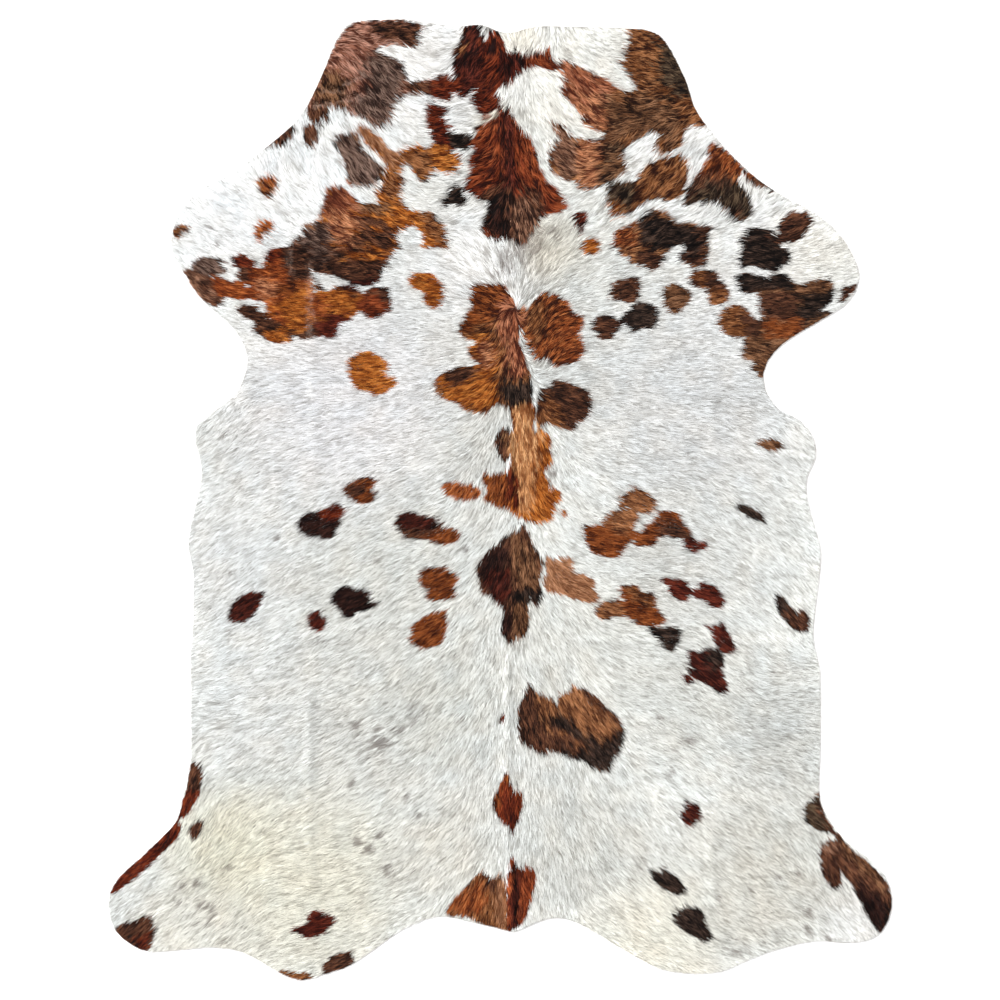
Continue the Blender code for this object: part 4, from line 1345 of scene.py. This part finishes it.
def hairs(points, spec, chance):
    # everything each hair needs: how it turns, rises, rolls, how long and wide it is, its colour
    def spread():
        return chance.uniform(-1, 1, len(points))

    lie = flowAt(points)
    hold = locksUnder(points, lie)
    fine, broad, tuft = hold["fine"], hold["broad"], hold["tuft"]
    lean, twist, lift = (eitherWay(broad["chance"][:, n]) for n in (2, 1, 3))
    share = tuftShare(points)
    fromRim = sample(rimGrid, points)

    length = mix(spec["length"], spec["neckLength"], neckShare(points))
    length = length * mix(spec["edgeLength"], 1.0, ease(fromRim / spec["edgeRun"]))
    length = length * (1 + spec["lengthSpread"] * spread() + spec["lockLength"] * lift)
    drift = mix(spec["evening"] * broad["along"], spec["tuftEvening"] * tuft["along"], share)
    length = np.clip(length - drift, spec["leastLength"] * length, spec["mostLength"] * length)

    turn = np.arctan2(lie[:, 1], lie[:, 0])
    turn += np.radians(spec["tuftTurn"]) * share * eitherWay(tuft["chance"][:, 2])
    turn += np.radians(spec["lean"]) * lean + np.radians(spec["stray"]) * spread()
    turn -= spec["gather"] * mix(broad["across"], fine["across"], spec["fineGather"]) / length
    heading = np.stack([np.cos(turn), np.sin(turn)], axis=1)

    # hairs near the cut edge are short enough to reach just past it
    allowed = spec["overhang"] * chance.uniform(spec["overhangFrom"], spec["overhangTo"], len(points))
    allowed += spec["overhangSpread"] * (softNoise(points, "overhang") - spec["overhangLevel"])
    for _ in range(spec["trims"]):
        beyond = -sample(rimGrid, points + heading * length[:, None]) - allowed
        trimmed = np.maximum(length - spec["trimBy"] * beyond, spec["leastLeft"] * length)
        length = np.where(beyond > 0, trimmed, length)

    slope = np.stack(np.gradient(topGrid, ground["step"]), axis=-1)
    climb = rowDot(sample(slope, points), heading)
    rise = np.radians(spec["rise"] + spec["riseSpread"] * spread() + spec["lockRise"] * lift) + climb
    seam = ease(mix(broad["seam"], tuft["seam"], share) / spec["seamDipWidth"])
    rise += np.radians(spec["seamDip"]) * (seam - spec["seamDipLevel"])
    rise *= mix(spec["flatEdge"], 1.0, ease(fromRim / spec["flatEdgeRun"]))
    roll = np.radians(spec["roll"] * spread() + spec["lockRoll"] * twist)
    roll -= np.radians(spec["roundness"]) * mix(sideOf(hold, "broad"), sideOf(hold, "tuft"), share)
    width = spec["width"] * (1 + spec["widthSpread"] * spread())

    seen = points + heading * (spec["seenAt"] * length)[:, None]
    colour = coatColours(seen, lie, hold, chance.random(len(points)))
    return dict(turn=turn, rise=rise, roll=roll, reach=length, breadth=width, coat=colour,
                curl=spec["curl"] * spread())


def bladeMesh(name, rows):
    # one hair as a tapering strip along +X, one unit long and wide: (along, half width) rows, then the tip
    mesh = bpy.data.meshes.new(name)
    verts = []
    for along, half in rows:
        verts += [(along, -half, 0.0), (along, half, 0.0)]
    verts.append((1.0, 0.0, 0.0))
    faces = [(2 * n, 2 * n + 2, 2 * n + 3, 2 * n + 1) for n in range(len(rows) - 1)]
    faces.append((2 * len(rows) - 2, 2 * len(rows), 2 * len(rows) - 1))
    mesh.from_pydata(verts, [], faces)
    pointAttribute(mesh, "along", "FLOAT", [v[0] for v in verts])
    return bpy.data.objects.new(name, mesh)


def furTree(material):
    # one blade stood on each root, turned, scaled and bent by what the root carries
    tree = bpy.data.node_groups.new("laidHair", "GeometryNodeTree")
    for label, kind in dict(Roots="Geometry", Hair="Object", Sag="Float").items():
        tree.interface.new_socket(label, in_out="INPUT", socket_type="NodeSocket" + kind)
    tree.interface.new_socket("Fur", in_out="OUTPUT", socket_type="NodeSocketGeometry")
    given = tree.nodes.new("NodeGroupInput").outputs
    out = tree.nodes.new("NodeGroupOutput")
    maths = mathsIn(tree)

    def read(name):
        found = node(tree, "GeometryNodeInputNamedAttribute", {"Name": name}, data_type="FLOAT")
        return found.outputs["Attribute"]

    def vector(x, y, z):
        return node(tree, "ShaderNodeCombineXYZ", {0: x, 1: y, 2: z}).outputs[0]

    blade = node(tree, "GeometryNodeObjectInfo", {"Object": given["Hair"]}).outputs["Geometry"]
    angles = vector(read("roll"), maths("MULTIPLY", read("rise"), -1.0), read("turn"))
    planted = node(tree, "GeometryNodeInstanceOnPoints",
                   {"Points": given["Roots"], "Instance": blade, "Rotation": angles,
                    "Scale": vector(read("reach"), read("breadth"), 1.0)})
    real = node(tree, "GeometryNodeRealizeInstances", {"Geometry": planted.outputs[0]})
    bow = maths("MULTIPLY", maths("MULTIPLY", read("along"), read("along")), read("reach"))
    sideways = maths("MULTIPLY", bow, read("curl"))
    shift = vector(maths("MULTIPLY", sideways, maths("MULTIPLY", maths("SINE", read("turn")), -1.0)),
                   maths("MULTIPLY", sideways, maths("COSINE", read("turn"))),
                   maths("MULTIPLY", bow, maths("MULTIPLY", given["Sag"], -1.0)))
    bent = node(tree, "GeometryNodeSetPosition", {"Geometry": real.outputs[0], "Offset": shift})
    dressed = node(tree, "GeometryNodeSetMaterial", {"Geometry": bent.outputs[0], "Material": material})
    tree.links.new(dressed.outputs[0], out.inputs["Fur"])
    return tree


def makeFur(name, points, facts, tree, blade, sag):
    carried = ("turn", "rise", "roll", "reach", "breadth", "curl")
    mesh = bpy.data.meshes.new(name + "_roots")
    mesh.vertices.add(len(points))
    stood = np.column_stack([points, skinHeight(points)])
    mesh.vertices.foreach_set("co", stood.astype(np.float32).ravel())
    for key in carried:
        pointAttribute(mesh, key, "FLOAT", facts[key])
    colourAttribute(mesh, facts["coat"])
    planted = bpy.data.objects.new(name + "_roots", mesh)
    bpy.context.scene.collection.objects.link(planted)
    modifier = planted.modifiers.new("laid hair", "NODES")
    modifier.node_group = tree
    named = {item.name: item.identifier for item in tree.interface.items_tree}
    modifier[named["Hair"]] = blade
    modifier[named["Sag"]] = sag
    bpy.context.view_layer.update()
    evaluated = planted.evaluated_get(bpy.context.evaluated_depsgraph_get())
    made = bpy.data.meshes.new_from_object(evaluated)
    planted.modifiers.clear()
    bpy.data.objects.remove(planted)
    for key in carried:
        made.attributes.remove(made.attributes[key])
    made.name = name
    piece = bpy.data.objects.new(name, made)
    bpy.context.scene.collection.objects.link(piece)
    flatMap(made)
    print(name, len(made.polygons), "faces")
    return piece


def flatMap(mesh):
    # the coat laid out as seen from straight above
    count = len(mesh.vertices)
    places = np.empty(count * 3, np.float32)
    mesh.vertices.foreach_get("co", places)
    places = places.reshape(-1, 3)[:, :2]
    low, high = places.min(axis=0), places.max(axis=0)
    spread = (places - low) / (high - low).max()
    corners = np.empty(len(mesh.loops), np.int32)
    mesh.loops.foreach_get("vertex_index", corners)
    layer = mesh.uv_layers.new(name="OFBake")
    layer.data.foreach_set("uv", spread[corners].astype(np.float32).ravel())


laidHair = furTree(hairMaterial("hair_on_hide"))
shortBlade = bladeMesh("short_hair", [(0.0, 0.5)])
longBlade = bladeMesh("long_hair", [(0.0, 0.42), (0.5, 0.4)])

roots, chance = rootPlaces(coatHair)
facts = hairs(roots, coatHair, chance)
print("coat:", len(roots), "hairs")
left = roots[:, 0] < partingPlace(roots[:, 1])
fore = roots[:, 1] > np.median(roots[:, 1])
quarters = dict(hair_fore_left=left & fore, hair_fore_right=~left & fore,
                hair_hind_left=left & ~fore, hair_hind_right=~left & ~fore)
fur = []
for name, part in quarters.items():
    fur.append(makeFur(name, roots[part], {k: v[part] for k, v in facts.items()}, laidHair, shortBlade, 0.0))

roots, chance = rootPlaces(neckHair)
roots = roots[chance.random(len(roots)) < onNeckOrSpine(roots, neckHair)]
facts = hairs(roots, neckHair, chance)
fur.append(makeFur("hair_neck_and_spine", roots, facts, laidHair, longBlade, neckHair["sag"]))

for piece in [hideSkin] + fur:
    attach(piece, "root")
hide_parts("hide")

# floor, light and camera

studio = dict(
    floor=(250, 250, 250), floorHalf=12.0,
    world=0.91, window=3.9, windowFrom=(-2.9, 2.6, 3.0), windowSpread=24.0,
    cameraHeight=9.0, frameWidth=1000 * chart["square"],
)


def makeFloor():
    mesh = bpy.data.meshes.new("floor")
    half = studio["floorHalf"]
    mesh.from_pydata([(-half, -half, 0), (half, -half, 0), (half, half, 0), (-half, half, 0)], [],
                     [(0, 1, 2, 3)])
    floor = bpy.data.objects.new("floor", mesh)
    bpy.context.scene.collection.objects.link(floor)
    material, tree, surface = newMaterial("pale_floor")
    surface.inputs["Base Color"].default_value = (*linear(studio["floor"]), 1)
    surface.inputs["Roughness"].default_value = 0.8
    mesh.materials.append(material)


def makeWindow():
    lamp = bpy.data.lights.new("window", "SUN")
    lamp.energy = studio["window"]
    lamp.angle = math.radians(studio["windowSpread"])
    light = bpy.data.objects.new("window", lamp)
    light.location = studio["windowFrom"]
    light.rotation_euler = (-Vector(studio["windowFrom"])).to_track_quat("-Z", "Y").to_euler()
    bpy.context.scene.collection.objects.link(light)


def makeWorld():
    world = bpy.data.worlds.new("studio")
    world.use_nodes = True
    back = world.node_tree.nodes["Background"]
    back.inputs["Color"].default_value = (1.0, 1.0, 1.0, 1.0)
    back.inputs["Strength"].default_value = studio["world"]
    bpy.context.scene.world = world


def makeCamera():
    lens = bpy.data.cameras.new("above")
    lens.sensor_width = 36.0
    lens.lens = lens.sensor_width * studio["cameraHeight"] / studio["frameWidth"]
    lens.clip_end = 100.0
    camera = bpy.data.objects.new("above", lens)
    middle = fromChart(500, 500)
    camera.location = (middle[0], middle[1], studio["cameraHeight"])
    bpy.context.scene.collection.objects.link(camera)
    bpy.context.scene.camera = camera


makeFloor()
makeWorld()
makeWindow()
makeCamera()
bpy.context.scene.view_settings.view_transform = "Standard"
